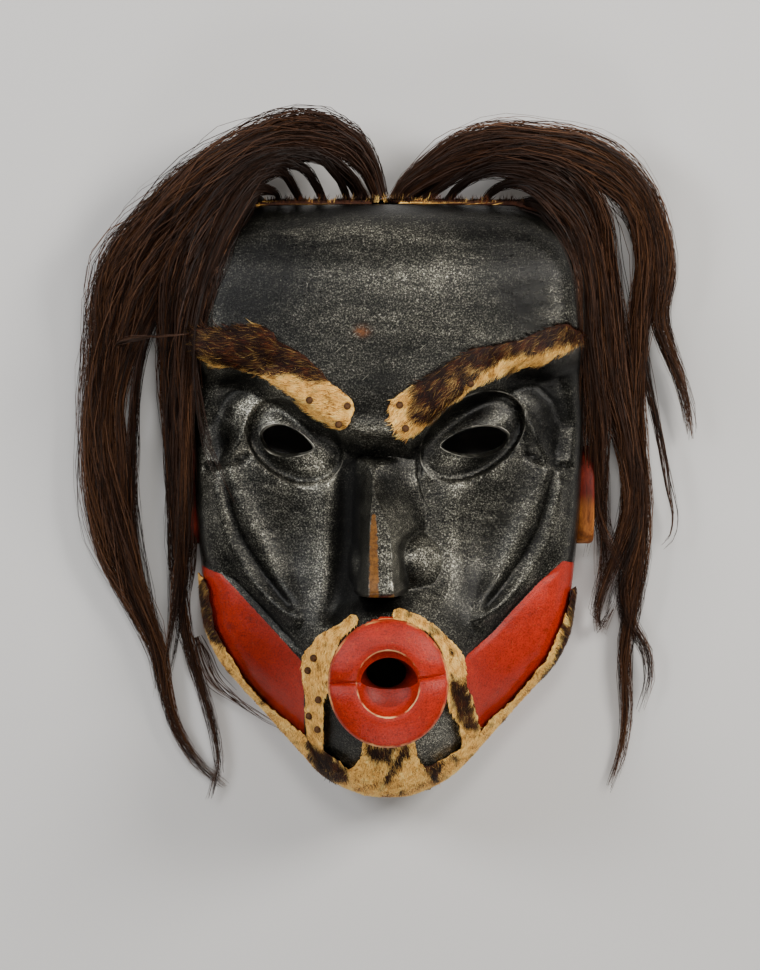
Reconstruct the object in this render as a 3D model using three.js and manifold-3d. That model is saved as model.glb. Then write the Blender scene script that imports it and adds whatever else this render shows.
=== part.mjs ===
// Wild woman mask: a carved and painted wooden face, hollow at the back, with brows,
// moustache and beard of hide, wooden ears and two bunches of long hair.
// Millimetres. The mask lies on the rim of its hollow back: +Z is the way the face looks,
// +Y is the top of the head and +X is on the right of a viewer who faces it.

import * as THREE from 'three';
import { mergeVertices } from 'three/addons/utils/BufferGeometryUtils.js';
import Module from 'manifold-3d';

const wasm = await Module();
wasm.setup();

// Driving dimensions of the wooden face
const FACE_TOP = 155.5;
const FACE_BOTTOM = -152;
const WALL = 12;
const INNER_RADIUS = 14;
const BACK_TAPER = 3;
const SIDE_BULGE = 1.5;
const WAIST = 0.55;
const COLUMNS = 26;
const ROWS = 32;
const CROWD_ACROSS = 0.3;
const CROWD_ALONG = 0.35;
const INNER_COLUMNS = 12;
const INNER_ROWS = 14;

// Heights well under and well over everything, for cutters that go right through
const UNDER = -5;
const OVER = 200;

// Clearance between pieces that touch, and how far the hides stand off the wood
const GAP = 0.35;
const HIDE_RISE = 2.6;

// Half the width of the face at each height
const halfWidth = smoothCurve([
  [-152, 10], [-147, 22], [-140, 33], [-130, 43], [-118, 54], [-107, 64], [-95, 75],
  [-80, 87], [-66, 93], [-50, 95.5], [-28, 98], [0, 101], [60, 102.5], [113, 102.5],
  [131, 98.5], [143, 90], [150, 81], [155.5, 66],
]);

// Heights of the surface on the centre line, below and above the brows
const cheekProfile = smoothCurve([
  [-152, 58], [-138, 66], [-115, 72], [-90, 76], [-55, 75], [-30, 73], [0, 73], [40, 74], [156, 76],
]);
const foreheadProfile = smoothCurve([
  [-152, 80], [30, 87], [42, 91.5], [60, 93.5], [90, 93], [115, 92.5], [135, 88], [156, 79],
]);

// Lower edge of the brow ridge across the face, low in the middle and high at the temples
const browLine = smoothCurve([
  [-103, 78], [-90, 71], [-77, 69], [-64, 64], [-54, 57.5], [-44, 49], [-35, 42], [-23, 37],
  [-9, 30], [8, 30], [15, 35.5], [22, 42], [31, 49.5], [47, 60], [62, 67], [76, 71.5],
  [90, 76], [103, 81],
]);
const BROW_STEP_BELOW = 12;
const BROW_STEP_ABOVE = 5;
const INNER_BROW_SHIFT = 14;

// How far the surface falls from the centre line to the side, and how its edge rolls over
const sideFall = smoothCurve([[-152, 14], [-100, 30], [-50, 24], [0, 18], [60, 16], [156, 12]]);
const edgeRadius = smoothCurve([[-152, 13], [-90, 13], [0, 15], [90, 17], [156, 22]]);

// Eye sockets and the eyes in them; tilt in degrees, outer corners up
const EYES = {
  left: {
    socket: { x: -48.8, y: 31.5, long: 27.6, short: 20.6, tilt: -33 },
    hole: { x: -52.5, y: 32, long: 13.6, short: 6.8, tilt: -17, blunt: -0.3 },
  },
  right: {
    socket: { x: 44.2, y: 34, long: 30.3, short: 20, tilt: 34 },
    hole: { x: 45.4, y: 32, long: 17, short: 6.8, tilt: 9, blunt: 0.22 },
  },
};
const SOCKET_DEPTH = 11;
const SOCKET_SHAPE = 7;
const SHALLOW_END = 0.45;
const EYE_DOME = { rise: 12.5, reach: 0.94 };

// The holes of the eyes widen towards the front, most of all below
const EYE_FLARE = { above: 0.4, below: 2, along: 1.4, from: 58, to: 63, sides: 14, point: 1.3 };

// Ridges stand out and grooves, with a height under nothing, are cut in, from the temple
// down over both cheeks
const RIDGES = [
  { points: [[60, 68], [76, 63], [86, 53], [90, 40], [88, 26]], height: -5.5, breadth: 7 },
  { points: [[71, 46], [76, 35], [83, 22]], height: 2.6, breadth: 3.6 },
  { points: [[95, 18], [84, 20.5], [74, 24]], height: -2.4, breadth: 1.9 },
  { points: [[83, 14], [80, 4], [73, -11], [65.5, -25], [57, -40], [49, -56]], height: 3.4, breadth: 7 },
  { points: [[86, 14], [83.5, 2], [78.5, -13], [71, -27], [62, -41], [52, -54]], height: -2, breadth: 2.8 },
  { points: [[90, 6], [88, -4], [84, -20], [73, -38], [60, -53], [48, -61]], height: 2.3, breadth: 3.4 },
  { points: [[98, -30], [80, -41], [66, -55], [54, -68], [41, -80]], height: -1.3, breadth: 1.6 },
  { points: [[33, 2], [34, -25], [36, -45]], height: 1.6, breadth: 9 },
];

// Hollows beside the nose, not the same on the left as on the right, and the ledge over it
const NOSE_VALLEYS = [
  { points: [[-22, 16], [-22, -20], [-24, -45], [-28, -57]], height: -6, breadth: 6 },
  { points: [[24, 8], [25, -20], [26, -44]], height: -1.2, breadth: 6 },
  { points: [[16.3, 21], [17.2, 15]], height: -2, breadth: 1.4 },
  { points: [[-20, 37], [-8, 38], [5, 37]], height: 2, breadth: 4 },
];
const CHEEK = { x: 50, y: -20, wide: 16, tall: 28, depth: 3.5 };
const MUZZLE = { x: 0, y: -92, wide: 43, tall: 46, rise: 30 };
const FOREHEAD = { x: 6, y: 110, wide: 60, tall: 34, rise: 3 };

// Nose, from its hooked tip up to its root: where its ridge runs and how high, half the
// breadth of its front, how steep its sides are, and how far they reach
const NOSE_TOP = 24;
const NOSE_BOTTOM = -48.5;
const NOSE_ROWS = 13;
const NOSE_SPANS = [1, 3, 2, 5, 1];
const NOSE_CROWD = 0.5;
const noseRidgeX = smoothCurve([[-48.5, -3.6], [-20, -4], [0, -6.5], [12, -7.6], [24, -7]]);
const noseRidgeZ = smoothCurve([
  [-48.5, 118.5], [-46, 120.5], [-25, 112], [0, 98], [12, 90], [19, 85.5], [21.8, 81.5], [24, 74],
]);
const noseFront = smoothCurve([[-48.5, 6.4], [-20, 5.6], [-4, 3], [5, 0.8], [12, 0.4], [24, 6]]);
const noseSlopeLeft = smoothCurve([[-48.5, 5.2], [-25, 4.4], [0, 2.8], [12, 2], [24, 1.2]]);
const noseSlopeRight = smoothCurve([[-48.5, 4.5], [-28, 4], [-14, 2], [0, 1.25], [12, 0.8], [24, 0.75]]);
const noseLeft = smoothCurve([[-48.5, -17.5], [-20, -18], [0, -18], [12, -17], [24, -16]]);
const noseRight = smoothCurve([[-48.5, 21], [-20, 24], [0, 19], [12, 15.2], [24, 14]]);
const noseFoot = smoothCurve([
  [-20, -44], [-13, -47.5], [-6, -48.5], [0, -47.8], [6, -45], [12, -42.5], [24, -38],
]);
const NOSE_SKIRT = 4;
const NOSE_SUNK = 0.6;
const NOSE_FILLETS = { left: 0.5, right: 7 };
const NOSE_ROOT = 0.8;
const NOSE_SIDE_DROP = 5;
const NOSE_FOOT_DROP = 3;
const NOSTRILS = [
  { x: 4, y: -31, wide: 24, tall: 19, top: 92, fall: 18 },
  { x: -13.6, y: -33, wide: 7, tall: 15, top: 95, fall: 22 },
];

// Funnel lips: a round disc on a narrower neck, with a raised ring around a bowl
const LIPS = {
  x: 0, y: -92.6, wide: 30.9, tall: 32.9, back: 96, neck: 27, edge: 108.5, clear: 124, sides: 24,
};
const lipsProfile = smoothCurve([
  [0, 108.6], [0.2, 109.2], [0.3, 110.3], [0.4, 112.4], [0.47, 114.9], [0.508, 117], [0.522, 117.7],
  [0.54, 118.1], [0.6, 118.3], [0.72, 117.6], [0.85, 116.2], [0.94, 114.8], [0.975, 113.9], [1, 112.6],
]);
const LIPS_SHARES = [1, 0.94, 0.78, 0.6, 0.53, 0.5, 0.44, 0.33];

// The groove between the two lips, on either side of the mouth: its height and rise, and
// how deep it is at shares of the way to the rim
const GROOVES = [
  { side: -1, y: -92.3, rise: 0 },
  { side: 1, y: -92, rise: 0.12 },
];
const GROOVE_HALF = 4.2;
const GROOVE_DEPTHS = [[0.46, -0.6], [0.6, 3.2], [0.85, 3.2], [1, 3.2], [1.1, 3.2]];

// The mouth: round inside, and drawn out to its corners at the front
const MOUTH = { x: -0.8, y: -87.5, long: 10.1, short: 7.8 };
const MOUTH_CORNERS = { x: 0.6, y: -91.3, long: 14.6, short: 12, below: 4.4 };
const MOUTH_FLARE = { from: 98, to: 108, sides: 20, point: 1.15 };

// Ears on the side walls
const EAR = { wall: 100.5, y: 4, tall: 52, deep: 27, out: 8.5, root: 4, bevel: 2.5, low: 8 };

// Hide strips on the face: points of x, y and breadth from one end to the other
const BROWS = {
  left: [
    [-107, 83, 7], [-94, 80, 18], [-80, 79, 19], [-62, 77, 24], [-46, 63.2, 23], [-31, 53, 20], [-20, 44, 12],
  ],
  right: [
    [4.5, 43.5, 17], [16, 49.5, 20], [30, 60.5, 20], [46, 69, 19], [62, 75, 15], [80, 81, 16], [99.5, 86, 11],
  ],
};
const BROW_LOW = 50;
const MOUSTACHES = {
  left: [
    [-17.5, -60, 5], [-28, -69, 9], [-36.5, -80, 13], [-37.5, -96, 12], [-38, -112, 10], [-36, -130, 9],
    [-30, -146, 12],
  ],
  right: [
    [4, -57.5, 5], [20, -64.5, 5], [31, -74, 7], [35.5, -88, 10], [38, -103, 11], [43, -119, 8],
    [42, -134, 7],
  ],
};
const MOUSTACHE_LOW = 40;

// Beard strip: its inner edge along the jaw and around the chin; it goes over the jaw's edge
const BEARD_EDGE = [
  [-96, -42], [-90, -68], [-75, -94], [-59, -110], [-43, -122], [-36, -135], [-24, -140], [-16, -136],
  [-11.5, -123.5], [9, -123.5], [15, -133], [27, -134.5], [40, -127], [53, -114], [71, -98], [86, -78],
  [96, -48],
];
const BEARD_OUTER = { x: 0, y: -60, wide: 110, tall: 112, from: 170, to: 370, steps: 20 };
const BEARD_LOW = 24;
const SCALP = {
  left: [[-77, 149], [-4, 149], [-4, 166], [-77, 166]],
  right: [[0, 149], [77, 149], [77, 166], [0, 166]],
  low: 18,
  high: 42,
};

// Locks of hair: points of x, y, z, breadth and thickness, from the root to the tip
const LOCK_SIDES = 5;
const LOCK_STEPS = 10;
const LOCKS = {
  left: [
    [
      [-8, 160, 30, 12, 14], [-24, 184, 34, 16, 14], [-50, 192, 36, 22, 14], [-100, 168, 34, 30, 16],
      [-139, 115, 20, 30, 18], [-150, 50, 13, 24, 14], [-150, -5, 9, 20, 12], [-140, -45, 8, 10, 9],
      [-122, -80, 5, 3, 5],
    ],
    [
      [-22, 160, 30, 12, 14], [-40, 184, 36, 14, 14], [-75, 176, 42, 24, 16], [-113, 136, 36, 32, 18],
      [-130, 85, 22, 28, 20], [-138, 30, 13, 16, 14], [-133, -20, 9, 8, 10], [-120, -60, 6, 5, 8],
    ],
    [
      [-40, 160, 30, 14, 14], [-62, 176, 42, 16, 16], [-88, 152, 58, 26, 14], [-106, 110, 60, 24, 14],
      [-112, 60, 50, 24, 18], [-115, 20, 34, 18, 18], [-113, -25, 16, 12, 14], [-106, -60, 9, 9, 10],
      [-98, -90, 6, 4, 6],
    ],
  ],
  right: [
    [
      [8, 160, 30, 12, 14], [26, 177, 34, 14, 14], [62, 187, 36, 16, 14], [104, 178, 32, 22, 16],
      [134, 140, 22, 24, 18], [139, 100, 16, 16, 14], [150, 60, 11, 14, 12], [159, 28, 8, 5, 8],
    ],
    [
      [24, 160, 30, 12, 14], [50, 177, 36, 16, 14], [88, 172, 36, 26, 16], [116, 140, 28, 22, 20],
      [128, 90, 18, 26, 18], [132, 40, 13, 20, 16], [130, 0, 10, 16, 12], [129, -60, 6, 4, 6],
    ],
    [
      [46, 160, 30, 14, 14], [70, 168, 36, 18, 14], [98, 154, 36, 18, 16], [112, 110, 28, 12, 18],
      [117, 60, 22, 14, 18], [119, 20, 16, 12, 16], [122, -22, 9, 5, 9],
    ],
  ],
};

// Pegs: name and place on the face
const PEG = { radius: 1.9, rise: 2.2 };
const PEGS = [
  ['peg_brow_left_1', -40.5, 52.5], ['peg_brow_left_2', -21, 49.5], ['peg_brow_left_3', -25.5, 40],
  ['peg_brow_right_1', 6, 50], ['peg_brow_right_2', 9, 38], ['peg_brow_right_3', 42.5, 61],
  ['peg_moustache_1', -38.5, -80.5], ['peg_moustache_2', -41.5, -87], ['peg_moustache_3', -36, -102],
  ['peg_moustache_4', -41, -111], ['peg_moustache_5', -36.5, -118],
];

const PAINT = { black: 0x16161a, wood: 0xa8703c, hide: 0xb88a55, hair: 0x24150e, peg: 0x1c120c };

// Smooth curve through knots that are sorted by their first value, with no overshoot
function smoothCurve(knots) {
  const last = knots.length - 1;
  const secant = (i) => (knots[i + 1][1] - knots[i][1]) / (knots[i + 1][0] - knots[i][0]);
  const slopes = knots.map((knot, i) => {
    if (i === 0) return secant(0);
    if (i === last) return secant(last - 1);
    const before = secant(i - 1);
    const after = secant(i);
    return before * after <= 0 ? 0 : (2 * before * after) / (before + after);
  });
  return (value) => {
    const t = Math.min(Math.max(value, knots[0][0]), knots[last][0]);
    let i = 0;
    while (i < last - 1 && t > knots[i + 1][0]) i += 1;
    const step = knots[i + 1][0] - knots[i][0];
    const s = (t - knots[i][0]) / step;
    const from = knots[i][1] * (1 + 2 * s) * (1 - s) ** 2 + slopes[i] * step * s * (1 - s) ** 2;
    const to = knots[i + 1][1] * s * s * (3 - 2 * s) + slopes[i + 1] * step * s * s * (s - 1);
    return from + to;
  };
}

function smoothStep(low, high, value) {
  const t = Math.min(Math.max((value - low) / (high - low), 0), 1);
  return t * t * (3 - 2 * t);
}

function bump(distance, breadth) {
  return Math.exp(-((distance / breadth) ** 2));
}

// The greater of two heights, with the crease between them filled a little
function softMax(a, b, blend) {
  const share = Math.min(Math.max(0.5 + (0.5 * (a - b)) / blend, 0), 1);
  return b + (a - b) * share + blend * share * (1 - share);
}

// Distance from a point to a chain of straight stretches
function chainDistance(x, y, points) {
  let best = Infinity;
  for (let i = 0; i < points.length - 1; i += 1) {
    const [ax, ay] = points[i];
    const dx = points[i + 1][0] - ax;
    const dy = points[i + 1][1] - ay;
    const t = Math.min(Math.max(((x - ax) * dx + (y - ay) * dy) / (dx * dx + dy * dy), 0), 1);
    best = Math.min(best, Math.hypot(x - ax - t * dx, y - ay - t * dy));
  }
  return best;
}

// Place along and across a tilted oval, 1 on its edge
function ovalPlace(oval, x, y) {
  const turn = THREE.MathUtils.degToRad(oval.tilt);
  const along = (x - oval.x) * Math.cos(turn) + (y - oval.y) * Math.sin(turn);
  const across = (y - oval.y) * Math.cos(turn) - (x - oval.x) * Math.sin(turn);
  return [along / oval.long, across / oval.short];
}

// Outline of the face, from the chin up the right side and down the left
function faceOutline() {
  const steps = 60;
  const right = [];
  for (let i = 0; i <= steps; i += 1) {
    const y = FACE_BOTTOM + ((FACE_TOP - FACE_BOTTOM) * i) / steps;
    right.push([halfWidth(y), y]);
  }
  const left = right.map(([x, y]) => [-x, y]).reverse();
  return [...right, ...left, right[0]];
}
const OUTLINE = faceOutline();

// Height lost where a surface rolls over its edge with a quarter round
function roll(distance, radius) {
  const inward = Math.min(Math.max(distance / radius, 0), 1);
  return radius * (1 - Math.sqrt(1 - (1 - inward) ** 2));
}

// Broad form of the face without its carved detail; the hollow's brow step lies higher up
function broadHeight(x, y, shift) {
  const brow = smoothStep(-BROW_STEP_BELOW, BROW_STEP_ABOVE, y - browLine(x) - shift);
  const centre = cheekProfile(y) * (1 - brow) + foreheadProfile(y) * brow;
  const across = Math.abs(x) / halfWidth(y);
  const muzzle = Math.hypot((x - MUZZLE.x) / MUZZLE.wide, (y - MUZZLE.y) / MUZZLE.tall);
  return centre - sideFall(y) * across ** 2 + MUZZLE.rise * bump(muzzle ** 1.5, 1);
}

function faceHeight(x, y) {
  let z = broadHeight(x, y, 0) - roll(chainDistance(x, y, OUTLINE), edgeRadius(y));
  const dome = Math.hypot((x - FOREHEAD.x) / FOREHEAD.wide, (y - FOREHEAD.y) / FOREHEAD.tall);
  z += FOREHEAD.rise * bump(dome, 1);
  const [along, across] = ovalPlace((x < 0 ? EYES.left : EYES.right).socket, x, y);
  const socket = Math.hypot(along, across);
  const depth = SOCKET_DEPTH * (1 - SHALLOW_END * smoothStep(0, 1, x < 0 ? along : -along));
  z -= depth * (1 - Math.min(socket, 1) ** SOCKET_SHAPE);
  z += EYE_DOME.rise * (1 - Math.min(socket / EYE_DOME.reach, 1) ** 2);
  for (const ridge of RIDGES) {
    z += ridge.height * bump(chainDistance(Math.abs(x), y, ridge.points), ridge.breadth);
  }
  for (const valley of NOSE_VALLEYS) {
    z += valley.height * bump(chainDistance(x, y, valley.points), valley.breadth);
  }
  const cheek = Math.hypot((Math.abs(x) - CHEEK.x) / CHEEK.wide, (y - CHEEK.y) / CHEEK.tall);
  return z - CHEEK.depth * bump(cheek ** 1.5, 1);
}

// Highest place of the face within a short reach
function highestAround(x, y, reach) {
  const steps = [-reach, 0, reach];
  return Math.max(...steps.flatMap((dx) => steps.map((dy) => faceHeight(x + dx, y + dy))));
}

function noseHeight(x, y) {
  const aside = x - noseRidgeX(y);
  const slope = aside < 0 ? noseSlopeLeft(y) : noseSlopeRight(y);
  const ridge = noseRidgeZ(y) - slope * Math.max(0, Math.abs(aside) - noseFront(y));
  const beyond = Math.max(0, x - noseRight(y), noseLeft(y) - x);
  let height = ridge - NOSE_FOOT_DROP * Math.max(0, noseFoot(x) - y) - NOSE_SIDE_DROP * beyond;
  for (const lobe of NOSTRILS) {
    const away = Math.hypot((x - lobe.x) / lobe.wide, (y - lobe.y) / lobe.tall);
    if (away < 1) height = Math.max(height, lobe.top - lobe.fall * away ** 2);
  }
  return height;
}

// Closed solid from a plain geometry
function toSolid(geometry) {
  const bare = geometry.clone();
  bare.deleteAttribute('normal');
  bare.deleteAttribute('uv');
  const merged = mergeVertices(bare, 1e-4);
  return new wasm.Manifold(new wasm.Mesh({
    numProp: 3,
    vertProperties: new Float32Array(merged.attributes.position.array),
    triVerts: new Uint32Array(merged.index.array),
  }));
}

// Geometry of a solid
function toGeometry(solid) {
  const mesh = solid.getMesh();
  const geometry = new THREE.BufferGeometry();
  geometry.setAttribute('position', new THREE.BufferAttribute(mesh.vertProperties, 3));
  geometry.setIndex(new THREE.BufferAttribute(mesh.triVerts, 1));
  geometry.computeVertexNormals();
  return geometry;
}

// Closed block under a grid of heights: its top is the grid, its walls follow the grid's
// edge down through the rings, and its underside is a fan
function gridBlock(columns, rows, place, rings) {
  const positions = [];
  const index = [];
  const at = (i, j) => j * (columns + 1) + i;
  for (let j = 0; j <= rows; j += 1) {
    for (let i = 0; i <= columns; i += 1) positions.push(...place(i / columns, j / rows));
  }
  for (let j = 0; j < rows; j += 1) {
    for (let i = 0; i < columns; i += 1) {
      index.push(at(i, j), at(i + 1, j), at(i + 1, j + 1));
      index.push(at(i, j), at(i + 1, j + 1), at(i, j + 1));
    }
  }
  let loop = [];
  for (let i = 0; i < columns; i += 1) loop.push(at(i, 0));
  for (let j = 0; j < rows; j += 1) loop.push(at(columns, j));
  for (let i = columns; i > 0; i -= 1) loop.push(at(i, rows));
  for (let j = rows; j > 0; j -= 1) loop.push(at(0, j));
  for (const ring of rings) {
    const start = positions.length / 3;
    for (const corner of loop) {
      positions.push(...ring(positions[3 * corner], positions[3 * corner + 1], positions[3 * corner + 2]));
    }
    const next = loop.map((_, k) => start + k);
    loop.forEach((corner, k) => {
      const after = (k + 1) % loop.length;
      index.push(corner, next[k], next[after]);
      index.push(corner, next[after], loop[after]);
    });
    loop = next;
  }
  const centre = positions.length / 3;
  positions.push(0, 0, Math.min(...loop.map((corner) => positions[3 * corner + 2])));
  loop.forEach((corner, k) => index.push(corner, centre, loop[(k + 1) % loop.length]));
  const geometry = new THREE.BufferGeometry();
  geometry.setAttribute('position', new THREE.Float32BufferAttribute(positions, 3));
  geometry.setIndex(index);
  return toSolid(geometry);
}

// Shares of the grid, closer together towards both ends
function crowded(share, pull) {
  return share - (pull * Math.sin(2 * Math.PI * share)) / (2 * Math.PI);
}

// The face as a full block, grown on all sides by a distance
function faceBlock(grow) {
  const stretch = (FACE_TOP - FACE_BOTTOM + 2 * grow) / (FACE_TOP - FACE_BOTTOM);
  const middle = (FACE_TOP + FACE_BOTTOM) / 2;
  const place = (u, v) => {
    const y = FACE_BOTTOM + (FACE_TOP - FACE_BOTTOM) * crowded(v, CROWD_ALONG);
    const share = 2 * crowded(u, CROWD_ACROSS) - 1;
    const z = faceHeight(share * halfWidth(y), y) + grow;
    return [share * (halfWidth(y) + grow), middle + (y - middle) * stretch, z];
  };
  const shrunk = (x, y, inward) => {
    const reach = Math.hypot(x, y);
    return [x * (1 - inward / reach), y * (1 - inward / reach)];
  };
  const floor = grow > 0 ? -1 : 0;
  return gridBlock(COLUMNS, ROWS, place, [
    (x, y, z) => [...shrunk(x, y, -SIDE_BULGE), z * WAIST],
    (x, y) => [...shrunk(x, y, BACK_TAPER), floor],
  ]);
}

// The hollow of the back, open below
function hollow() {
  const bottom = FACE_BOTTOM + WALL;
  const top = FACE_TOP - WALL;
  const place = (u, v) => {
    const y = bottom + (top - bottom) * crowded(v, CROWD_ALONG);
    const x = (2 * crowded(u, CROWD_ACROSS) - 1) * (halfWidth(y) - WALL);
    const fall = roll(chainDistance(x, y, OUTLINE) - WALL, INNER_RADIUS);
    return [x, y, broadHeight(x, y, INNER_BROW_SHIFT) - WALL - fall];
  };
  return gridBlock(INNER_COLUMNS, INNER_ROWS, place, [(x, y) => [x, y, UNDER]]);
}

// Upright prism over an outline
function prism(points, low, high) {
  const shape = new THREE.Shape(points.map(([x, y]) => new THREE.Vector2(x, y)));
  const geometry = new THREE.ExtrudeGeometry(shape, { depth: high - low, bevelEnabled: false });
  geometry.translate(0, 0, low);
  return toSolid(geometry);
}

// Solid through outlines that have the same number of points, closed with a fan at both ends
function loft(rings) {
  const count = rings[0].length;
  const positions = rings.flat(2);
  const index = [];
  for (let ring = 0; ring < rings.length - 1; ring += 1) {
    for (let i = 0; i < count; i += 1) {
      const here = ring * count + i;
      const next = ring * count + ((i + 1) % count);
      index.push(here, next, next + count, here, next + count, here + count);
    }
  }
  for (const ring of [0, rings.length - 1]) {
    const centre = positions.length / 3;
    for (const axis of [0, 1, 2]) {
      positions.push(rings[ring].reduce((sum, point) => sum + point[axis], 0) / count);
    }
    for (let i = 0; i < count; i += 1) {
      const here = ring * count + i;
      const next = ring * count + ((i + 1) % count);
      index.push(...(ring === 0 ? [centre, next, here] : [centre, here, next]));
    }
  }
  const geometry = new THREE.BufferGeometry();
  geometry.setAttribute('position', new THREE.Float32BufferAttribute(positions, 3));
  geometry.setIndex(index);
  return toSolid(geometry);
}

// Points of a tilted oval at a height; a pointed one is an almond, and it may differ below
function ovalRing(oval, count, point, z) {
  const turn = THREE.MathUtils.degToRad(oval.tilt ?? 0);
  const points = [];
  for (let i = 0; i < count; i += 1) {
    const angle = (2 * Math.PI * i) / count;
    const along = oval.long * Math.cos(angle);
    const short = Math.sin(angle) > 0 ? oval.short : (oval.below ?? oval.short);
    const side = Math.sign(Math.sin(angle)) * (1 + (oval.blunt ?? 0) * Math.cos(angle));
    const across = short * side * Math.abs(Math.sin(angle)) ** point;
    points.push([
      oval.x + along * Math.cos(turn) - across * Math.sin(turn),
      oval.y + along * Math.sin(turn) + across * Math.cos(turn),
      z,
    ]);
  }
  return points;
}

// Cutter of a hole that goes through the wood and widens towards the front
function holeSolid(inner, outer, { from, to, sides, point }) {
  return loft([
    ovalRing(inner, sides, point, UNDER),
    ovalRing(inner, sides, point, from),
    ovalRing(outer, sides, point, to),
    ovalRing(outer, sides, point, OVER),
  ]);
}

function eyeSolid({ hole }) {
  const outer = {
    ...hole,
    long: hole.long + EYE_FLARE.along,
    short: hole.short + EYE_FLARE.above,
    below: hole.short + EYE_FLARE.below,
  };
  return holeSolid(hole, outer, EYE_FLARE);
}

function noseSolid() {
  const columns = NOSE_SPANS.reduce((sum, span) => sum + span);
  const place = (u, v) => {
    const y = NOSE_BOTTOM + (NOSE_TOP - NOSE_BOTTOM) * crowded(v, NOSE_CROWD);
    const edges = [
      noseLeft(y) - NOSE_SKIRT, noseLeft(y), noseRidgeX(y) - noseFront(y),
      noseRidgeX(y) + noseFront(y), noseRight(y), noseRight(y) + NOSE_SKIRT,
    ];
    let column = Math.round(u * columns);
    let span = 0;
    while (column > NOSE_SPANS[span]) {
      column -= NOSE_SPANS[span];
      span += 1;
    }
    const x = edges[span] + ((edges[span + 1] - edges[span]) * column) / NOSE_SPANS[span];
    const fillet = x < noseRidgeX(y) ? NOSE_FILLETS.left : NOSE_FILLETS.right;
    return [x, y, softMax(noseHeight(x, y), faceHeight(x, y) - NOSE_SUNK, fillet)];
  };
  const foot = (x, y) => [x, y, broadHeight(x, y, 0) - WALL * NOSE_ROOT];
  return gridBlock(columns, NOSE_ROWS, place, [foot]);
}

// Funnel lips in rings from the neck to the rim and on into the bowl
function lipsSolid(grow) {
  const ring = (share, z) => {
    const oval = { ...LIPS, long: (LIPS.wide + grow) * share, short: (LIPS.tall + grow) * share };
    return ovalRing(oval, LIPS.sides, 1, z);
  };
  return loft([
    ring(LIPS.neck / LIPS.wide, LIPS.back - grow),
    ring(1, LIPS.edge - grow),
    ...LIPS_SHARES.map((share) => ring(share, lipsProfile(share) + grow)),
  ]);
}

// V-shaped cutter of the groove between the lips on one side of the mouth
function grooveSolid({ side, y, rise }) {
  const rings = GROOVE_DEPTHS.map(([share, depth]) => {
    const x = share * LIPS.wide;
    const middle = y + rise * x;
    const half = side * GROOVE_HALF;
    return [
      [side * x, middle - half, LIPS.clear],
      [side * x, middle, lipsProfile(share) - depth],
      [side * x, middle + half, LIPS.clear],
    ];
  });
  return loft(rings);
}

// Ear: a D-shaped plate on the side wall with a hollow shell, grown by a distance
function earSolid(side, grow) {
  const half = EAR.tall / 2;
  const shape = new THREE.Shape();
  shape.moveTo(-side * half * 0.9, 0);
  const lobe = EAR.deep * 0.55;
  shape.bezierCurveTo(-side * half, EAR.deep, side * half * 0.5, EAR.deep * 1.15, side * half, lobe);
  shape.bezierCurveTo(side * half * 1.05, EAR.deep * 0.2, side * half * 0.9, 0, side * half * 0.6, 0);
  shape.closePath();
  const plate = new THREE.ExtrudeGeometry(shape, {
    depth: EAR.out + EAR.root - EAR.bevel + grow,
    bevelThickness: EAR.bevel,
    bevelSize: EAR.bevel + grow,
    bevelSegments: 1,
    curveSegments: 6,
  });
  const shell = new THREE.SphereGeometry(1, 12, 8);
  shell.scale(half * 0.62, EAR.deep * 0.3, 5);
  shell.translate(side * 2, EAR.deep * 0.52, EAR.out + EAR.root + 3);
  const standing = new THREE.Matrix4().makeBasis(
    new THREE.Vector3(0, side, 0), new THREE.Vector3(0, 0, 1), new THREE.Vector3(side, 0, 0),
  );
  standing.setPosition(side * (EAR.wall - EAR.root), EAR.y, EAR.low);
  plate.applyMatrix4(standing);
  shell.applyMatrix4(standing);
  return grow > 0 ? toSolid(plate) : toSolid(plate).subtract(toSolid(shell));
}

// Outline of a strip that follows a chain of points, each with its own breadth
function stripOutline(points, steps) {
  const curve = new THREE.CatmullRomCurve3(points.map(([x, y]) => new THREE.Vector3(x, y, 0)));
  const breadth = smoothCurve(points.map((point, i) => [i / (points.length - 1), point[2]]));
  const above = [];
  const below = [];
  for (let i = 0; i <= steps; i += 1) {
    const share = i / steps;
    const middle = curve.getPoint(share);
    const along = curve.getTangent(share);
    const half = breadth(share) / 2;
    above.push([middle.x - along.y * half, middle.y + along.x * half]);
    below.push([middle.x + along.y * half, middle.y - along.x * half]);
  }
  return [...below, ...above.reverse()];
}

// Outline of the beard: its inner edge, moved inwards by a distance, and an arc outside the jaw
function beardOutline(grow) {
  const inner = BEARD_EDGE.map(([x, y]) => {
    const reach = Math.hypot(x, y - BEARD_OUTER.y);
    return [x * (1 - grow / reach), BEARD_OUTER.y + (y - BEARD_OUTER.y) * (1 - grow / reach)];
  });
  const outer = [];
  for (let i = 0; i <= BEARD_OUTER.steps; i += 1) {
    const degrees = BEARD_OUTER.from + ((BEARD_OUTER.to - BEARD_OUTER.from) * i) / BEARD_OUTER.steps;
    const turn = THREE.MathUtils.degToRad(degrees);
    outer.push([BEARD_OUTER.wide * Math.cos(turn), BEARD_OUTER.y + BEARD_OUTER.tall * Math.sin(turn)]);
  }
  return [...outer, ...inner.reverse()];
}

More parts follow.
